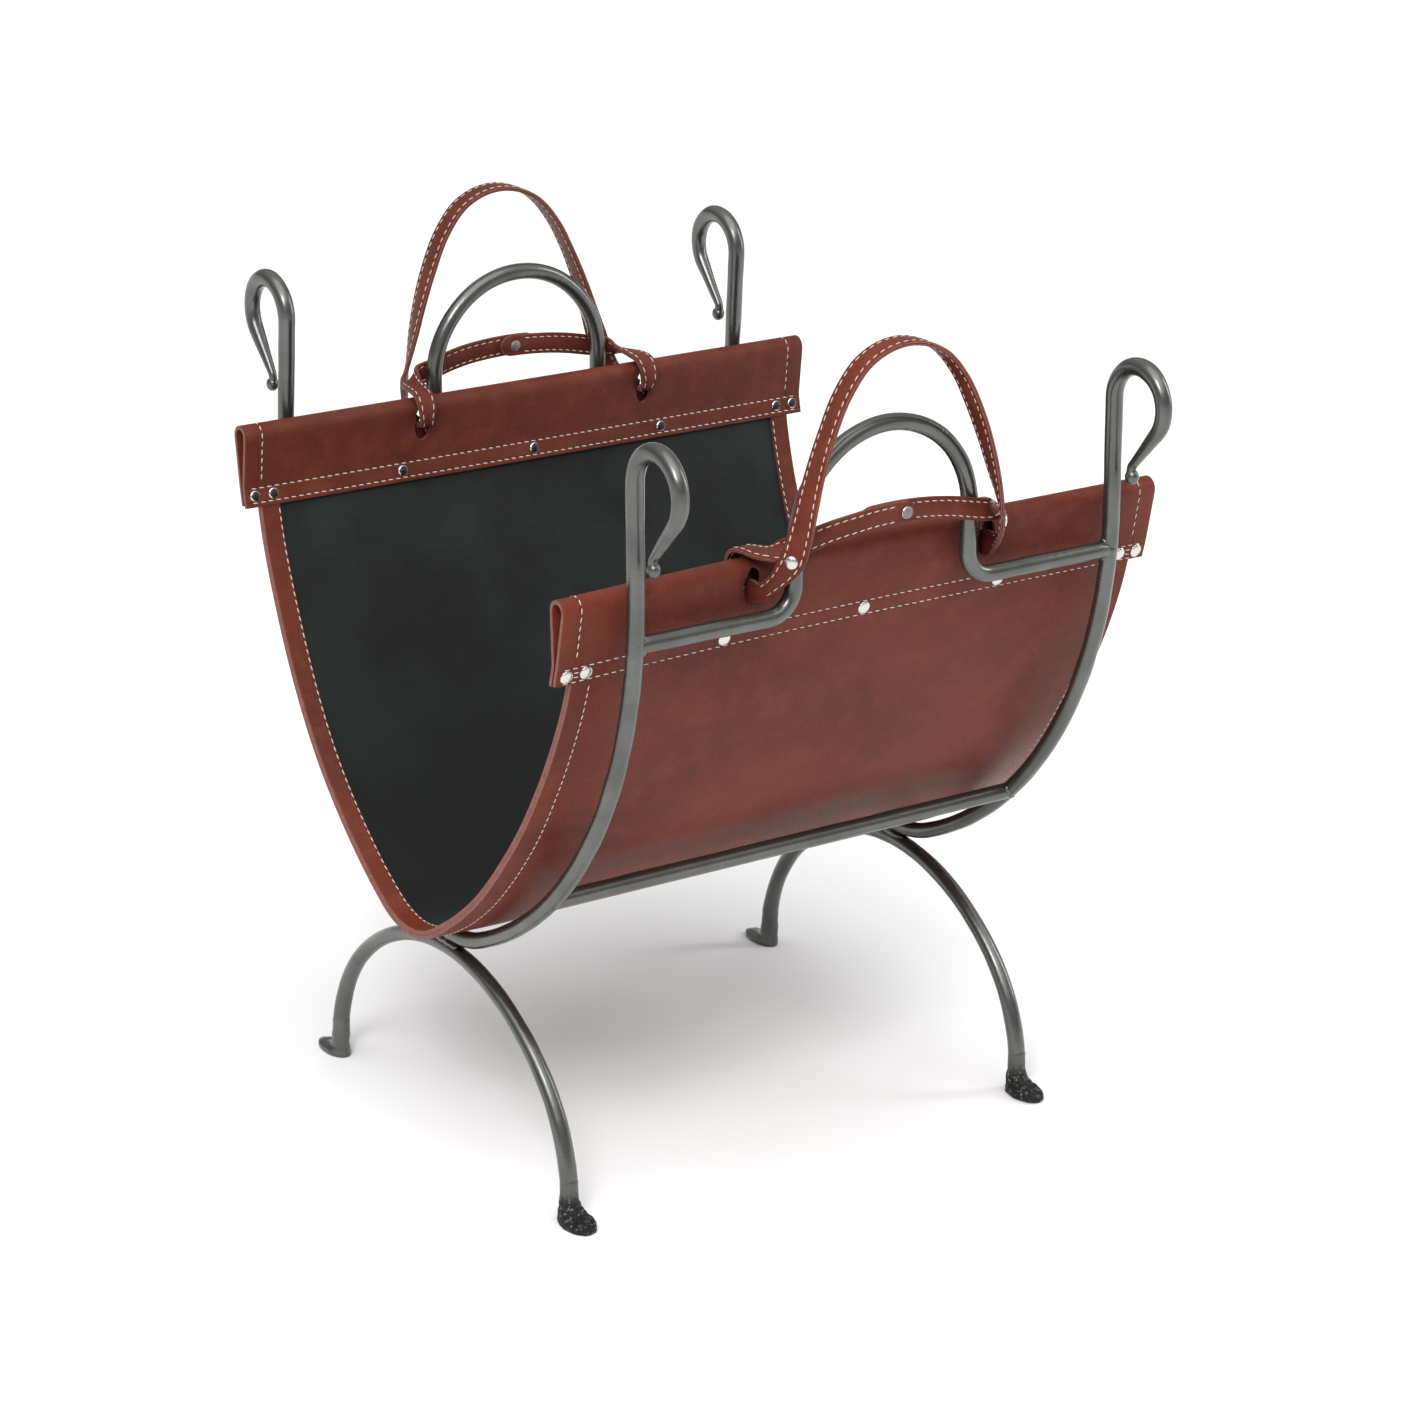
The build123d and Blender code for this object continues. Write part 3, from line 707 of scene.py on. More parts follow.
# Painted shade: the back half is darkened to a deeper brown, standing in for the shade that falls on the
# back hem.
painted_back_shade = hide.step(hide.axis("Y"), 0.02, 0.19, 0.0, 0.42)
hide_colour = hide.blend_colour(painted_back_shade, hide_colour, (0.060, 0.0170, 0.0095))
hide_colour = hide.blend_colour(hide.step(mottle, 0.42, 0.75) * 0.35, hide_colour, worn_brown)
hide_colour = hide.blend_colour((1 - cells) * 0.22, hide_colour, (0.050, 0.012, 0.008))
hide_colour = hide.blend_colour(stitch_line * 0.45, hide_colour, (0.055, 0.018, 0.014))
hide.set(
    Base_Color=hide_colour,
    Roughness=0.31 + mottle * 0.14 + (1 - cells) * 0.08,
    Normal=hide.raised(cells * 0.35 + pores * 0.25 + mottle * 0.35 - stitch_line * 1.4, 0.0005, 0.6),
)

raw_edge = Finish("cut_leather_edge", Roughness=0.55)
fibres = raw_edge.blotches(420.0, 4.0, 0.65)
edge_tone = raw_edge.step(fibres, 0.3, 0.7)
edge_tone = raw_edge.blend_colour(edge_tone, (0.135, 0.033, 0.021), (0.21, 0.066, 0.044))
raw_edge.set(Base_Color=edge_tone, Normal=raw_edge.raised(fibres, 0.0003, 0.6))


def finish_leather(piece, lay, across=0.72):
    """Gives a flat piece its finish, and its cut edges their own, and puts it in place with lay."""
    piece.data.materials.append(hide.material)
    piece.data.materials.append(raw_edge.material)
    for face in piece.data.polygons:
        if abs(face.normal.z) < across:
            face.material_index = 1
    place_flat(piece, lay)
    smooth(piece, 50)


clear_selection()
bpy.ops.mesh.primitive_grid_add(x_subdivisions=72, y_subdivisions=330, size=1)
leather = bpy.context.object
leather.name = "carrier_leather"
leather.scale = (2 * HEM_HALF, 2 * FLAT_HALF, 1)
settle(leather)
edit()
for corner, across in (((SLING_HALF, 0, 0), (1, 0, 0)), ((0, WING_S, 0), (0, 1, 0))):
    for end in (1, -1):
        bpy.ops.mesh.select_all(action="SELECT")
        bpy.ops.mesh.bisect(plane_co=Vector(corner) * end, plane_no=across)
bpy.ops.mesh.select_all(action="DESELECT")
bpy.ops.object.mode_set(mode="OBJECT")
for face in leather.data.polygons:
    face.select = abs(face.center.x) > SLING_HALF and abs(face.center.y) < WING_S
edit("FACE")
bpy.ops.mesh.delete(type="FACE")
bpy.ops.object.mode_set(mode="OBJECT")
sheet_body = leather.modifiers.new("thickness", "SOLIDIFY")
sheet_body.thickness = LEATHER
sheet_body.offset = 1.0
apply_modifiers(leather)

slot_x = 0.081
slot_low, slot_top = 0.378, 0.400
slot_half_width = 0.0057
slot_cutters = []
for wall in ("outer", "inner"):
    first, last = along_at(slot_low, wall), along_at(slot_top, wall)
    for x in (-slot_x, slot_x):
        for side in (-1, 1):
            clear_selection()
            at = (x, side * (first + last) / 2, 0.001)
            bpy.ops.mesh.primitive_cylinder_add(vertices=48, radius=1, depth=0.01, location=at)
            cutter = bpy.context.object
            cutter.scale = (slot_half_width, abs(last - first) / 2, 1)
            settle(cutter)
            slot_cutters.append(cutter)
cutter = join(slot_cutters, "slot_cutter")
cut = leather.modifiers.new("slots", "BOOLEAN")
cut.operation = "DIFFERENCE"
cut.solver = "EXACT"
cut.object = cutter
round_over = leather.modifiers.new("burnished_edges", "BEVEL")
round_over.width = 0.0005
round_over.segments = 2
round_over.limit_method = "ANGLE"
round_over.angle_limit = math.radians(50)
apply_modifiers(leather)
bpy.data.objects.remove(cutter)
finish_leather(leather, hang)
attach(leather, "carrier")
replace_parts(leather, "sling_leather", "front_hem", "back_hem")

# Lining: black napped lining cloth, glued to the flesh side of the leather and held under
# the hem flaps and the edge bindings.
nap = Finish("black_lining", Roughness=0.92, Specular_IOR_Level=0.15,
             Sheen_Weight=0.10, Sheen_Roughness=0.5, Sheen_Tint=(0.5, 0.52, 0.52, 1))
brushed = nap.step(nap.blotches(13.0, 4.0, 0.55), 0.35, 0.7)
lint = nap.blotches(700.0, 4.0, 0.7)
fibre = nap.blotches(1900.0, 2.0, 0.6)
nap_colour = nap.blend_colour(brushed, (0.0100, 0.0112, 0.0107), (0.0190, 0.0212, 0.0206))
nap_colour = nap.blend_colour(nap.step(lint, 0.55, 0.85) * 0.5, nap_colour, (0.030, 0.033, 0.033))
# Painted shade: the lining is darkened towards the bottom of the trough, standing in for the shade down
# there.
painted_low_shade = nap.step(nap.axis("Z"), 0.14, 0.34, 0.85, 0.0)
nap_colour = nap.blend_colour(painted_low_shade, nap_colour, (0.0050, 0.0056, 0.0054))
nap.set(Base_Color=nap_colour, Normal=nap.raised(lint * 0.6 + fibre * 0.5, 0.0005, 0.7))

lining_half = SLING_HALF - 0.0015
lining_s = SEAM_S - 0.001
clear_selection()
lining_depth = (0, 0, LEATHER + 0.00002)
bpy.ops.mesh.primitive_grid_add(x_subdivisions=64, y_subdivisions=200, size=1, location=lining_depth)
lining = bpy.context.object
lining.name = "carrier_lining"
lining.scale = (2 * lining_half, 2 * lining_s, 1)
settle(lining)
cloth = lining.modifiers.new("thickness", "SOLIDIFY")
cloth.thickness = LINING - 0.00004
cloth.offset = 1.0
apply_modifiers(lining)
place_flat(lining, hang)
smooth(lining, 50)
lining.data.materials.append(nap.material)
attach(lining, "carrier")
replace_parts(lining, "sling_lining")

# Edge bindings: a strip of the same leather down each curved end, turned over the lining's
# edge and stitched through, so that the end shows as a thick rounded edge.
BINDING_WIDTH = 0.0125
for end_name, end in (("left", -1), ("right", 1)):
    inner, outer = SLING_HALF - BINDING_WIDTH, SLING_HALF
    face_depth = LEATHER + LINING
    clear_selection()
    middle = ((inner + outer) / 2 * end, 0, face_depth + BINDING / 2)
    bpy.ops.mesh.primitive_cube_add(size=1, location=middle)
    binding = bpy.context.object
    binding.name = f"{end_name}_binding"
    binding.scale = (BINDING_WIDTH, 2 * WING_S - 0.0006, BINDING)
    settle(binding)
    # The strip's outer edge is drawn down over the edge of the lining.
    edit()
    bpy.ops.mesh.select_all(action="SELECT")
    bpy.ops.mesh.bisect(plane_co=((outer - 0.0014) * end, 0, 0), plane_no=(1, 0, 0))
    bpy.ops.mesh.select_all(action="DESELECT")
    bpy.ops.object.mode_set(mode="OBJECT")
    for face in binding.data.polygons:
        face.select = face.normal.z < -0.9 and abs(face.center.x) > outer - 0.0013
    edit("FACE")
    bpy.ops.mesh.extrude_region_move(TRANSFORM_OT_translate={"value": (0, 0, -LINING + 0.00006)})
    bpy.ops.mesh.select_all(action="DESELECT")
    bpy.ops.object.mode_set(mode="OBJECT")
    for edge in binding.data.edges:
        a, b = (binding.data.vertices[v].co for v in edge.vertices)
        edge.select = abs(a.y - b.y) > 0.1 and abs(a.x) > outer - 0.0001 and a.z > face_depth + BINDING / 2
    edit("EDGE")
    bpy.ops.mesh.bevel(offset=0.0012, segments=4, affect="EDGES")
    bpy.ops.mesh.select_all(action="DESELECT")
    bpy.ops.object.mode_set(mode="OBJECT")
    for edge in binding.data.edges:
        a, b = (binding.data.vertices[v].co for v in edge.vertices)
        edge.select = abs(a.y - b.y) > 0.1
    edit("EDGE")
    bpy.ops.mesh.subdivide(number_cuts=220)
    bpy.ops.mesh.select_all(action="SELECT")
    bpy.ops.mesh.normals_make_consistent(inside=False)
    bpy.ops.object.mode_set(mode="OBJECT")
    finish_leather(binding, hang)
    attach(binding, "carrier")
    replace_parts(binding, f"{end_name}_edge_binding")

# Thread: waxed linen, sewn at five to the inch. Two rows close each hem, one row closes each
# end of it, and one row holds each edge binding; each stitch shows on both faces.
thread = Finish("waxed_thread", Roughness=0.75)
ply = thread.blotches(1500.0, 2.0, 0.6)
thread.set(
    Base_Color=thread.blend_colour(ply, (0.42, 0.34, 0.29), (0.66, 0.58, 0.51)),
    Normal=thread.raised(ply, 0.0003, 0.5),
)
PITCH = 0.0052
stitch_slant = math.radians(5)
clear_selection()
bpy.ops.mesh.primitive_uv_sphere_add(segments=6, ring_count=5, radius=1)
one_stitch = bpy.context.object
one_stitch.scale = (0.0020, 0.00041, 0.00034)
settle(one_stitch)
stitch_points = np.array([v.co for v in one_stitch.data.vertices])
stitch_faces = [list(f.vertices) for f in one_stitch.data.polygons]
bpy.data.objects.remove(one_stitch)


def sew(name, rows, lay, rides=True):
    """Lays stitches along straight flat rows ((x, s) to (x, s), depth) and carries them with lay."""
    points, faces = [], []
    cos, sin = math.cos(stitch_slant), math.sin(stitch_slant)
    u = stitch_points[:, 0] * cos - stitch_points[:, 1] * sin
    w = stitch_points[:, 0] * sin + stitch_points[:, 1] * cos
    for (x0, s0), (x1, s1), depth in rows:
        length = math.hypot(x1 - x0, s1 - s0)
        count = max(1, int(length / PITCH))
        along = np.array(((x1 - x0) / length, (s1 - s0) / length))
        start = (length - count * PITCH) / 2 + PITCH / 2
        for n in range(count):
            at = start + n * PITCH + u
            x = x0 + along[0] * at - along[1] * w
            s = s0 + along[1] * at + along[0] * w
            faces.extend([i + len(points) * len(stitch_points) for i in face] for face in stitch_faces)
            points.append(np.stack((x, s, stitch_points[:, 2] + depth), 1))
    mesh = bpy.data.meshes.new(name)
    mesh.from_pydata(lay(np.concatenate(points)).tolist(), [], faces)
    mesh.update()
    piece = bpy.data.objects.new(name, mesh)
    bpy.context.scene.collection.objects.link(piece)
    make_active(piece)
    edit()
    bpy.ops.mesh.select_all(action="SELECT")
    bpy.ops.mesh.normals_make_consistent(inside=False)
    bpy.ops.object.mode_set(mode="OBJECT")
    smooth(piece, 80)
    mesh.materials.append(thread.material)
    if rides:
        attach(piece, "carrier")
    return piece


grain, binding_face = 0.00002, LEATHER + LINING + BINDING - 0.00002
rivet_heights = (("front", -1, 0.3592), ("back", 1, 0.3607))
hem_row_end = 0.2005
end_row_z = 0.3675
tack_x, tack_half, tack_apart = 0.1912, 0.0027, 0.0014
for side_name, side, rivet_z in rivet_heights:
    rows = [((-hem_row_end, s), (hem_row_end, s), grain) for s in hem_rows if s * side > 0]
    # A tack on each side of the line between the two end rivets.
    rivet_s = side * along_at(rivet_z)
    for x in (-tack_x, tack_x):
        for s in (rivet_s - tack_apart, rivet_s + tack_apart):
            rows.append(((x - tack_half, s), (x + tack_half, s), grain))
    first_s, last_s = side * along_at(end_row_z), side * along_at(end_row_z, "inner")
    for x in (-END_ROW_X, END_ROW_X):
        rows.append(((x, first_s), (x, last_s), grain))
    sew(f"{side_name}_hem_stitches", rows, hang)
for end_name, x in (("left", -BINDING_ROW_X), ("right", BINDING_ROW_X)):
    rows = [((x, 0.002 - WING_S), (x, WING_S - 0.002), face) for face in (grain, binding_face)]
    sew(f"{end_name}_binding_stitches", rows, hang)

# Hem rivets: double-cap rivets through the hem's seam, seven on each side, a bright nickel cap
# outside and a blackened one inside. The cap is spun from its profile. The straps have the same
# rivets, with duller, worn caps at their laps.
nickel = Finish("nickel_plate", Metallic=1.0)
scuffs = nickel.blotches(900.0, 3.0, 0.6)
nickel.set(
    Base_Color=nickel.blend_colour(scuffs, (0.50, 0.48, 0.44), (0.70, 0.68, 0.64)),
    Roughness=0.18 + scuffs * 0.16,
    Normal=nickel.raised(scuffs, 0.0001, 0.4),
)
black_cap = Finish("blackened_cap", Metallic=0.6)
soot = black_cap.blotches(900.0, 3.0, 0.6)
black_cap.set(
    Base_Color=black_cap.blend_colour(soot, (0.010, 0.010, 0.010), (0.03, 0.03, 0.03)),
    Roughness=0.35 + soot * 0.2,
)
worn_cap = Finish("worn_cap", Metallic=0.8)
rubbed = worn_cap.blotches(700.0, 4.0, 0.6)
worn_cap.set(
    Base_Color=worn_cap.blend_colour(rubbed, (0.15, 0.13, 0.12), (0.30, 0.28, 0.26)),
    Roughness=0.42 + rubbed * 0.15,
)
# distance from the cap's middle, height above the leather
cap_profile = ((0.0, 0.00150), (0.0010, 0.00146), (0.0020, 0.00130), (0.0029, 0.00104), (0.0036, 0.00070),
               (0.00395, 0.00036), (0.00402, 0.00012), (0.00385, -0.0001), (0.0, -0.0003))


def spin_cap(scale):
    """One rivet cap at the origin, its dome upwards."""
    clear_selection()
    bpy.ops.mesh.primitive_plane_add(size=1)
    cap = bpy.context.object
    edit()
    bpy.ops.mesh.delete(type="VERT")
    shape = bmesh.from_edit_mesh(cap.data)
    last = None
    for r, z in cap_profile:
        point = shape.verts.new((r * scale, 0, z))
        if last:
            shape.edges.new((last, point))
        last = point
    bmesh.update_edit_mesh(cap.data)
    bpy.ops.mesh.select_all(action="SELECT")
    bpy.ops.mesh.spin(steps=24, angle=2 * math.pi, center=(0, 0, 0), axis=(0, 0, 1))
    bpy.ops.mesh.select_all(action="SELECT")
    bpy.ops.mesh.remove_doubles(threshold=0.00002)
    bpy.ops.mesh.normals_make_consistent(inside=False)
    bpy.ops.object.mode_set(mode="OBJECT")
    smooth(cap, 60)
    return cap


def set_caps(name, seats, finish, scale=1.0):
    """Copies of one cap, each set on a seat (place, outward direction)."""
    caps = []
    first = spin_cap(scale)
    for place, out in seats:
        cap = first.copy()
        cap.data = first.data.copy()
        bpy.context.scene.collection.objects.link(cap)
        turn = Vector((0, 0, 1)).rotation_difference(Vector(out)).to_matrix().to_4x4()
        cap.data.transform(Matrix.Translation(place) @ turn)
        caps.append(cap)
    bpy.data.objects.remove(first)
    piece = join(caps, name)
    piece.data.materials.append(finish.material)
    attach(piece, "carrier")
    return piece


def seat_on(x, s):
    """A rivet's seat on the hung leather: its place and the way its cap faces."""
    spots = hang(np.array(((x, s, 0.0), (x, s, -0.001))))
    return Vector(spots[0]), Vector(spots[1] - spots[0]).normalized()


rivet_x = (-0.1975, -0.185, -0.095, 0.0, 0.095, 0.185, 0.1975)
for side_name, side, rivet_z in rivet_heights:
    outside = [seat_on(x, side * along_at(rivet_z)) for x in rivet_x]
    inside = [seat_on(x, side * along_at(rivet_z, "inner")) for x in rivet_x]
    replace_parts(set_caps(f"{side_name}_rivet_caps", outside, nickel), f"{side_name}_hem_rivets")
    set_caps(f"{side_name}_inner_cap_rims", inside, nickel, 0.86)
    raised_seats = [(place + out * 0.0005, out) for place, out in inside]
    caps = set_caps(f"{side_name}_inner_caps", raised_seats, black_cap, 0.70)
    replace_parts(caps, f"{side_name}_hem_rivet_backs")

# Straps: on each side one band of two plies sewn back to back. It passes through the hem's
# slots; outside it stands up as a tall hand loop, and inside it comes over the hem's top edge
# and crosses low in front of the steel arch, where its two ends overlap under a rivet.
STRAP_W = 0.0148
STRAP_T = 0.0027
SLOT_SHARE = 0.62
strap_row = STRAP_W / 2 - 0.0025


def strap_outline():
    """The band's section: rounded edges with the line between the plies, and sunk stitch rows."""
    w, t = STRAP_W / 2, STRAP_T / 2
    edge = [(w - 0.0005, t), (w - 0.0001, t - 0.0004), (w, 0.00022), (w - 0.0004, 0.0)]
    row = [(strap_row - 0.0007, t), (strap_row, t - 0.00025), (strap_row + 0.0007, t)]
    half = row + edge
    upper = [(-a, b) for a, b in reversed(half)] + [(0.0, t + 0.0001)] + half
    lower = [(a, -b) for a, b in reversed(upper[1:-1])]
    return upper + lower


class StrapPath:
    """A smooth path through stations (x, outward, z, width direction), with a frame at each place."""

    def __init__(self, side, stations, taper_end=True, width=1.0):
        self.taper_end, self.width = taper_end, width
        places = np.array([(x, side * v, z) for (x, v, z), _ in stations])
        widths = np.array([(a, side * b, c) for _, (a, b, c) in stations], float)
        knots = np.concatenate(([0], np.cumsum(np.linalg.norm(np.diff(places, axis=0), axis=1))))
        fine = np.linspace(0, knots[-1], 3000)
        spot = self.smooth_curve(knots, places, fine)
        wide = self.smooth_curve(knots, widths, fine)
        self.s = np.concatenate(([0], np.cumsum(np.linalg.norm(np.diff(spot, axis=0), axis=1))))
        self.length = self.s[-1]
        ahead = np.gradient(spot, axis=0)
        ahead /= np.linalg.norm(ahead, axis=1)[:, None]
        wide -= ahead * (wide * ahead).sum(1)[:, None]
        wide /= np.linalg.norm(wide, axis=1)[:, None]
        self.spot, self.wide = spot, wide
        self.face = np.cross(ahead, wide)

    @staticmethod
    def smooth_curve(knots, values, at):
        """A smooth cubic curve through the values."""
        slope = np.gradient(values, knots, axis=0)
        i = np.clip(np.searchsorted(knots, at, "right") - 1, 0, len(knots) - 2)
        h = (knots[i + 1] - knots[i])[:, None]
        t = ((at - knots[i])[:, None]) / h
        return ((2 * t**3 - 3 * t**2 + 1) * values[i] + (t**3 - 2 * t**2 + t) * h * slope[i]
                + (-2 * t**3 + 3 * t**2) * values[i + 1] + (t**3 - t**2) * h * slope[i + 1])

    def lay(self, flat):
        """Carries points from the flat strap (across, along, above its middle) to the path."""
        s = np.clip(flat[:, 1], 0, self.length)
        pick = [np.stack([np.interp(s, self.s, table[:, k]) for k in range(3)], 1)
                for table in (self.spot, self.wide, self.face)]
        # A strap is trimmed narrower, to a share of its width, where it goes through a slot.
        narrow = np.full(len(s), self.width)
        for reach in (s, self.length - s) if self.taper_end else (s,):
            full = np.maximum(ramp(reach, 0.020, 0.022), ramp(-reach, -0.013, 0.003))
            narrow *= SLOT_SHARE + (1 - SLOT_SHARE) * rounded(full)
        return pick[0] + pick[1] * flat[:, :1] * narrow[:, None] + pick[2] * flat[:, 2:]

    def nearest(self, test):
        """How far along the path is where test(places) is smallest."""
        return float(self.s[int(np.argmin(test(self.spot)))])


def cut_strap(name, path, round_end=False):
    """A strap modelled flat, its end rounded if asked, then laid along its path."""
    outline = strap_outline()
    clear_selection()
    mesh = bpy.data.meshes.new(name)
    mesh.from_pydata([(w, 0, t) for w, t in outline], [], [list(range(len(outline)))])
    piece = bpy.data.objects.new(name, mesh)
    bpy.context.scene.collection.objects.link(piece)
    make_active(piece)
    edit()
    bpy.ops.mesh.select_all(action="SELECT")
    bpy.ops.mesh.extrude_region_move(TRANSFORM_OT_translate={"value": (0, path.length, 0)})
    bpy.ops.mesh.select_all(action="DESELECT")
    bpy.ops.object.mode_set(mode="OBJECT")
    for edge in mesh.edges:
        a, b = (mesh.vertices[v].co for v in edge.vertices)
        edge.select = bool(abs(a.y - b.y) > path.length / 2)
    edit("EDGE")
    bpy.ops.mesh.subdivide(number_cuts=int(path.length / 0.0020))
    bpy.ops.mesh.select_all(action="SELECT")
    bpy.ops.mesh.normals_make_consistent(inside=False)
    bpy.ops.object.mode_set(mode="OBJECT")
    if round_end:
        half = STRAP_W / 2
        for vertex in mesh.vertices:
            over = (vertex.co.y - (path.length - half)) / half
            if over > 0:
                vertex.co.x *= math.sqrt(max(0.02, 1 - min(over, 1.0) ** 2))
    finish_leather(piece, path.lay, 0.5)
    # The path turns the flat strap over, so its faces are turned round to point outwards again.
    mesh.flip_normals()
    return piece


def strap_rows(path, start, end):
    """The rows of stitches along both edges of a strap, on both its faces."""
    rows = []
    for w in (-strap_row, strap_row):
        for face in (-1, 1):
            rows.append(((w, start), (w, path.length - end), face * (STRAP_T / 2 - 0.0001)))
    return rows


def hem_droop(x, side):
    """How much lower the hem's top hangs at x than the height it was cut to."""
    top_s = side * along_at(hem_side_z)
    level, hung = hang(np.array(((HEM_HALF, top_s, 0.0), (x, top_s, 0.0))))[:, 2]
    return (level - hung) + (even_droop if side < 0 else 0.0)


# half of the hand loop from its top down into a slot: place, then turn of the band's face
loop_v = 0.2078
loop_half = (
    (0.0, loop_v, 0.5197, 0), (0.0125, loop_v, 0.5178, 0), (0.0255, loop_v, 0.5115, 0),
    (0.0400, loop_v, 0.4950, 0), (0.0505, loop_v, 0.4740, 0), (0.0585, loop_v, 0.4530, 6),
    (0.0645, loop_v, 0.4330, 16), (0.0690, loop_v - 0.0004, 0.4170, 30),
    (0.0722, loop_v - 0.0014, 0.4060, 40), (0.0750, loop_v - 0.0055, 0.3985, 40),
    (0.0778, loop_v - 0.0118, 0.3918, 32),
    (0.0800, loop_v - 0.0200, 0.3868, 12), (0.0810, loop_v - 0.0310, 0.3845, 0),
)
# an end of the low part, from between the hem's walls, in through the slot, up and over the
# hem's top and round to the outside: place, then the band's width direction in X and Z
low_v = 0.1991
low_start = (
    (0.0800, 0.1768, 0.3730, 1, 0), (0.0800, 0.1766, 0.3800, 1, 0), (0.0800, 0.1750, 0.3862, 1, 0),
    (0.0800, 0.1720, 0.3884, 1, 0), (0.0800, 0.1665, 0.3885, 1, 0), (0.0812, 0.1638, 0.3935, 1, 0),
    (0.0812, 0.1645, 0.4010, 1, 0), (0.0808, 0.1690, 0.4065, 1, 0), (0.0800, 0.1770, 0.4083, 1, -0.05),
    (0.0785, 0.1860, 0.4088, 1, -0.25), (0.0748, 0.1940, 0.4092, 0.8, -0.6),
    (0.0680, 0.1985, 0.4102, 0.3, -0.95), (0.0580, low_v, 0.4122, 0, -1),
)
# the height of the low part's middle, how far it has sagged by its sides, the lift at its lap,
# and where the loop crosses it
low_top = 0.4195
low_side_x = 0.058
low_sag = 0.0073
lap = 0.0029
crossing_x, crossing_z = 0.0728, 0.405


def low_height(x):
    return low_top - low_sag * (x / low_side_x) ** 2


def loop_stations(side, lean):
    """The hand loop from slot to slot; its top leans over by lean."""
    stations = []
    for end in (-1, 1):
        half = []
        for x, v, z, turned in loop_half:
            a = math.radians(turned)
            # Where it drops into the slot, the band lies square to its path.
            drop = ramp(-v, 0.002 - loop_v, 0.018)
            dip = drop * math.pi / 2
            across = (-end * math.sin(a), math.cos(a) * math.cos(dip), -math.sin(dip))
            leant = lean * max(0.0, (z - 0.42) / 0.10)
            half.append(((end * x + leant, v, z - hem_droop(end * x, side) * drop), across))
        stations += reversed(half) if end < 0 else half[1:]
    return stations


def low_stations(side, end, tip_x, lift):
    """One end of the low part, from inside its slot to its tip; lift lays it over the other end."""
    places = [(end * x, v, z, (end * a, 0, b)) for x, v, z, a, b in low_start]
    for x in (0.044, 0.030, 0.015, 0.0, -0.015):
        if x > end * tip_x + 0.004:
            raised = lift * rounded(ramp(-x, -low_side_x, 0.026))
            places.append((end * x, low_v + raised, low_height(x), (0, 0, -1)))
    places.append((tip_x, low_v + lift, low_height(tip_x), (0, 0, -1)))
    return [((x, v, z - hem_droop(x, side) * ramp(-v, -0.200, 0.012)), across) for x, v, z, across in places]


for side_name, side, lean, under_tip, over_tip, lap_x in (
        ("front", -1, -0.0045, -0.022, 0.014, 0.007), ("back", 1, -0.006, -0.007, 0.020, 0.003)):
    loop_path = StrapPath(side, loop_stations(side, lean))
    hand_loop = cut_strap(f"{side_name}_hand_loop", loop_path)
    rows = strap_rows(loop_path, 0.012, 0.012)
    loop_rows = sew(f"{side_name}_loop_stitches", rows, loop_path.lay, rides=False)
    for piece in (hand_loop, loop_rows):
        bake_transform(piece)
    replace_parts(hand_loop, f"{side_name}_strap_handle", f"{side_name}_strap_feet")

    # The low part: an under end from the right slot and an over end from the left slot.
    for part, end, tip_x, lift in (("under", 1, under_tip, 0.0), ("over", -1, over_tip, lap)):
        low_path = StrapPath(side, low_stations(side, end, tip_x, lift), taper_end=False, width=0.88)
        strap = cut_strap(f"{side_name}_low_strap_{part}", low_path, True)
        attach(strap, "carrier")
        if part == "over":
            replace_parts(strap, f"{side_name}_low_strap")
        sew(f"{side_name}_low_strap_{part}_stitches", strap_rows(low_path, 0.006, 0.014), low_path.lay)

    # One rivet through the lap, and one through each crossing of the loop with the low part.
    outward = Vector((0, side, 0))
    lap_face = Vector((lap_x, side * (low_v + lap + STRAP_T / 2), low_top))
    seats = [(lap_face, outward)]
    for x in (-crossing_x, crossing_x):
        at = loop_path.nearest(lambda p: abs(p[:, 0] - x) + abs(p[:, 2] - crossing_z))
        spots = loop_path.lay(np.array(((0, at, 0.0), (0, at, 0.001))))
        facing = Vector(spots[1] - spots[0]).normalized()
        if facing.y * side < 0:
            facing = -facing
        seats.append((Vector(spots[0]) + facing * (STRAP_T / 2), facing))
    caps = set_caps(f"{side_name}_strap_rivet_caps", seats, nickel, 0.95)
    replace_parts(caps, f"{side_name}_strap_rivets")
    inner_face = Vector((lap_x, side * (low_v - STRAP_T / 2), low_top))
    set_caps(f"{side_name}_strap_inner_cap", [(inner_face, -outward)], worn_cap, 0.9)
    set_caps(f"{side_name}_lap_cap", [(lap_face + outward * 0.0004, outward)], worn_cap, 0.88)

# Stage: a plain pale floor, a broad overhead light, a soft key from the upper left, a tall soft
# light from the right, a pale surround and the camera.
floor_finish = Finish("pale_floor", Base_Color=(0.86, 0.86, 0.86, 1), Roughness=0.9)
clear_selection()
bpy.ops.mesh.primitive_plane_add(size=30, location=(0, 0, -0.0002))
floor = bpy.context.object
floor.name = "studio_floor"
floor.data.materials.append(floor_finish.material)

world = bpy.data.worlds.new("studio_air")
bpy.context.scene.world = world
world.use_nodes = True
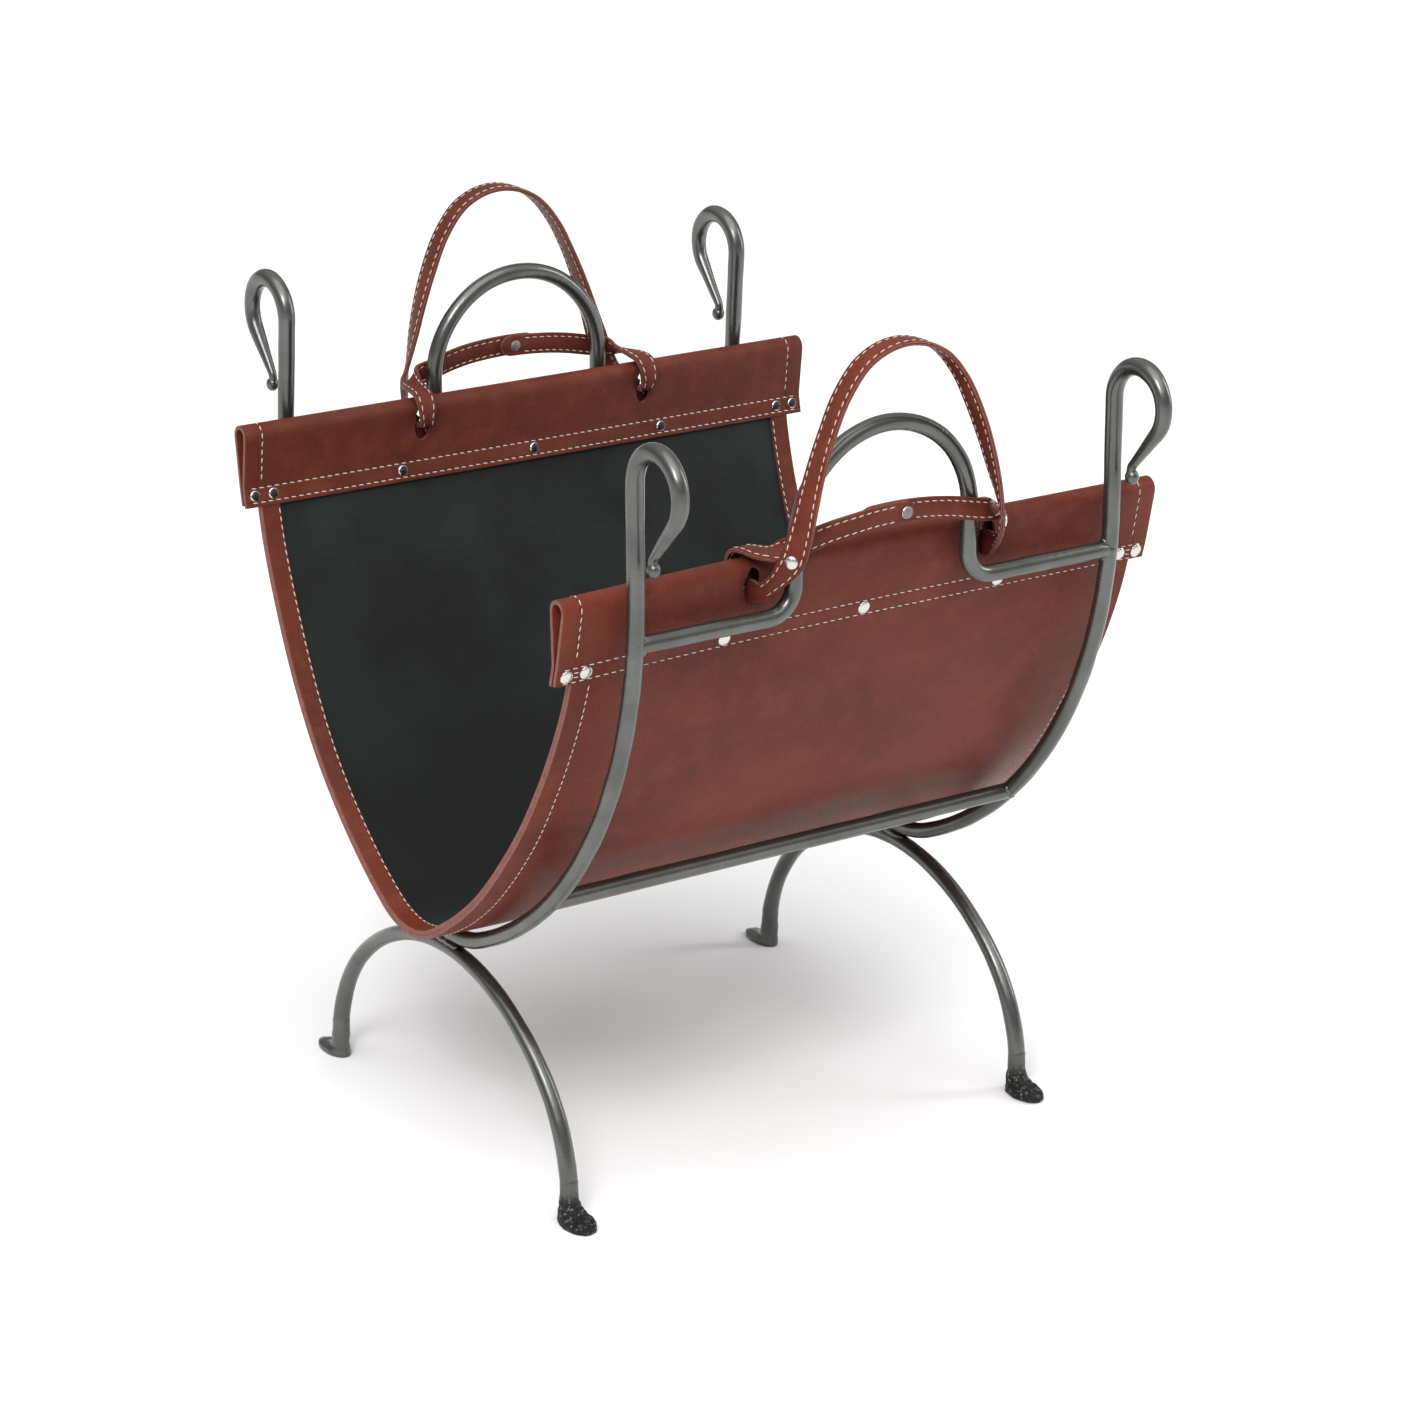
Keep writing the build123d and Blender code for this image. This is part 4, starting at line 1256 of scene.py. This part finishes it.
# White at the skyline, dim just above it and bright overhead, as under a large ceiling softbox.
room_tones = ((0.0, 1.0), (0.07, 1.0), (0.11, 0.16), (0.30, 0.30), (0.80, 0.90))
air = NodeTree(world.node_tree)
direction = air.node("ShaderNodeTexCoord", output="Generated")
upward = air.node("ShaderNodeSeparateXYZ", {}, {0: direction}, "Z")
stops = [(height, (tone, tone, tone)) for height, tone in room_tones]
room = air.node("ShaderNodeValToRGB", {"stops": stops}, {0: upward})
world.node_tree.links.new(room.socket, world.node_tree.nodes["Background"].inputs["Color"])

overhead = bpy.data.lights.new("overhead_light", "SUN")
overhead.energy = 1.75
overhead.angle = math.radians(70)
overhead_lamp = bpy.data.objects.new("overhead_light", overhead)
bpy.context.scene.collection.objects.link(overhead_lamp)
overhead_lamp.rotation_euler = Vector((0.25, 0.35, -1)).to_track_quat("-Z", "Y").to_euler()


def soft_light(name, place, target, size, power):
    lamp = bpy.data.lights.new(name, "AREA")
    lamp.energy = power
    lamp.shape = "RECTANGLE"
    lamp.size, lamp.size_y = size
    lit = bpy.data.objects.new(name, lamp)
    bpy.context.scene.collection.objects.link(lit)
    lit.location = place
    lit.rotation_euler = (Vector(target) - Vector(place)).to_track_quat("-Z", "Y").to_euler()


soft_light("key_light", (-1.6, -1.4, 2.2), (0, 0, 0.3), (0.7, 0.9), 36)
soft_light("side_light", (2.0, -0.8, 1.2), (0, 0, 0.3), (0.35, 1.4), 15)

camera_data = bpy.data.cameras.new("camera")
camera = bpy.data.objects.new("camera", camera_data)
bpy.context.scene.collection.objects.link(camera)
bpy.context.scene.camera = camera
camera_place = Vector((-1.32107, -1.92145, 1.10703))
look = (Vector((0, 0, 0.2491)) - camera_place).to_track_quat("-Z", "Y")
roll = Matrix.Rotation(math.radians(1.138), 3, "Z").to_quaternion()
camera.rotation_euler = (look @ roll).to_euler()
camera.location = camera_place
camera_data.lens = 104.65
camera_data.sensor_width = 36.0
camera_data.shift_x = 0.0184
camera_data.shift_y = -0.0099
camera_data.clip_end = 50
bpy.context.scene.view_settings.view_transform = "Standard"
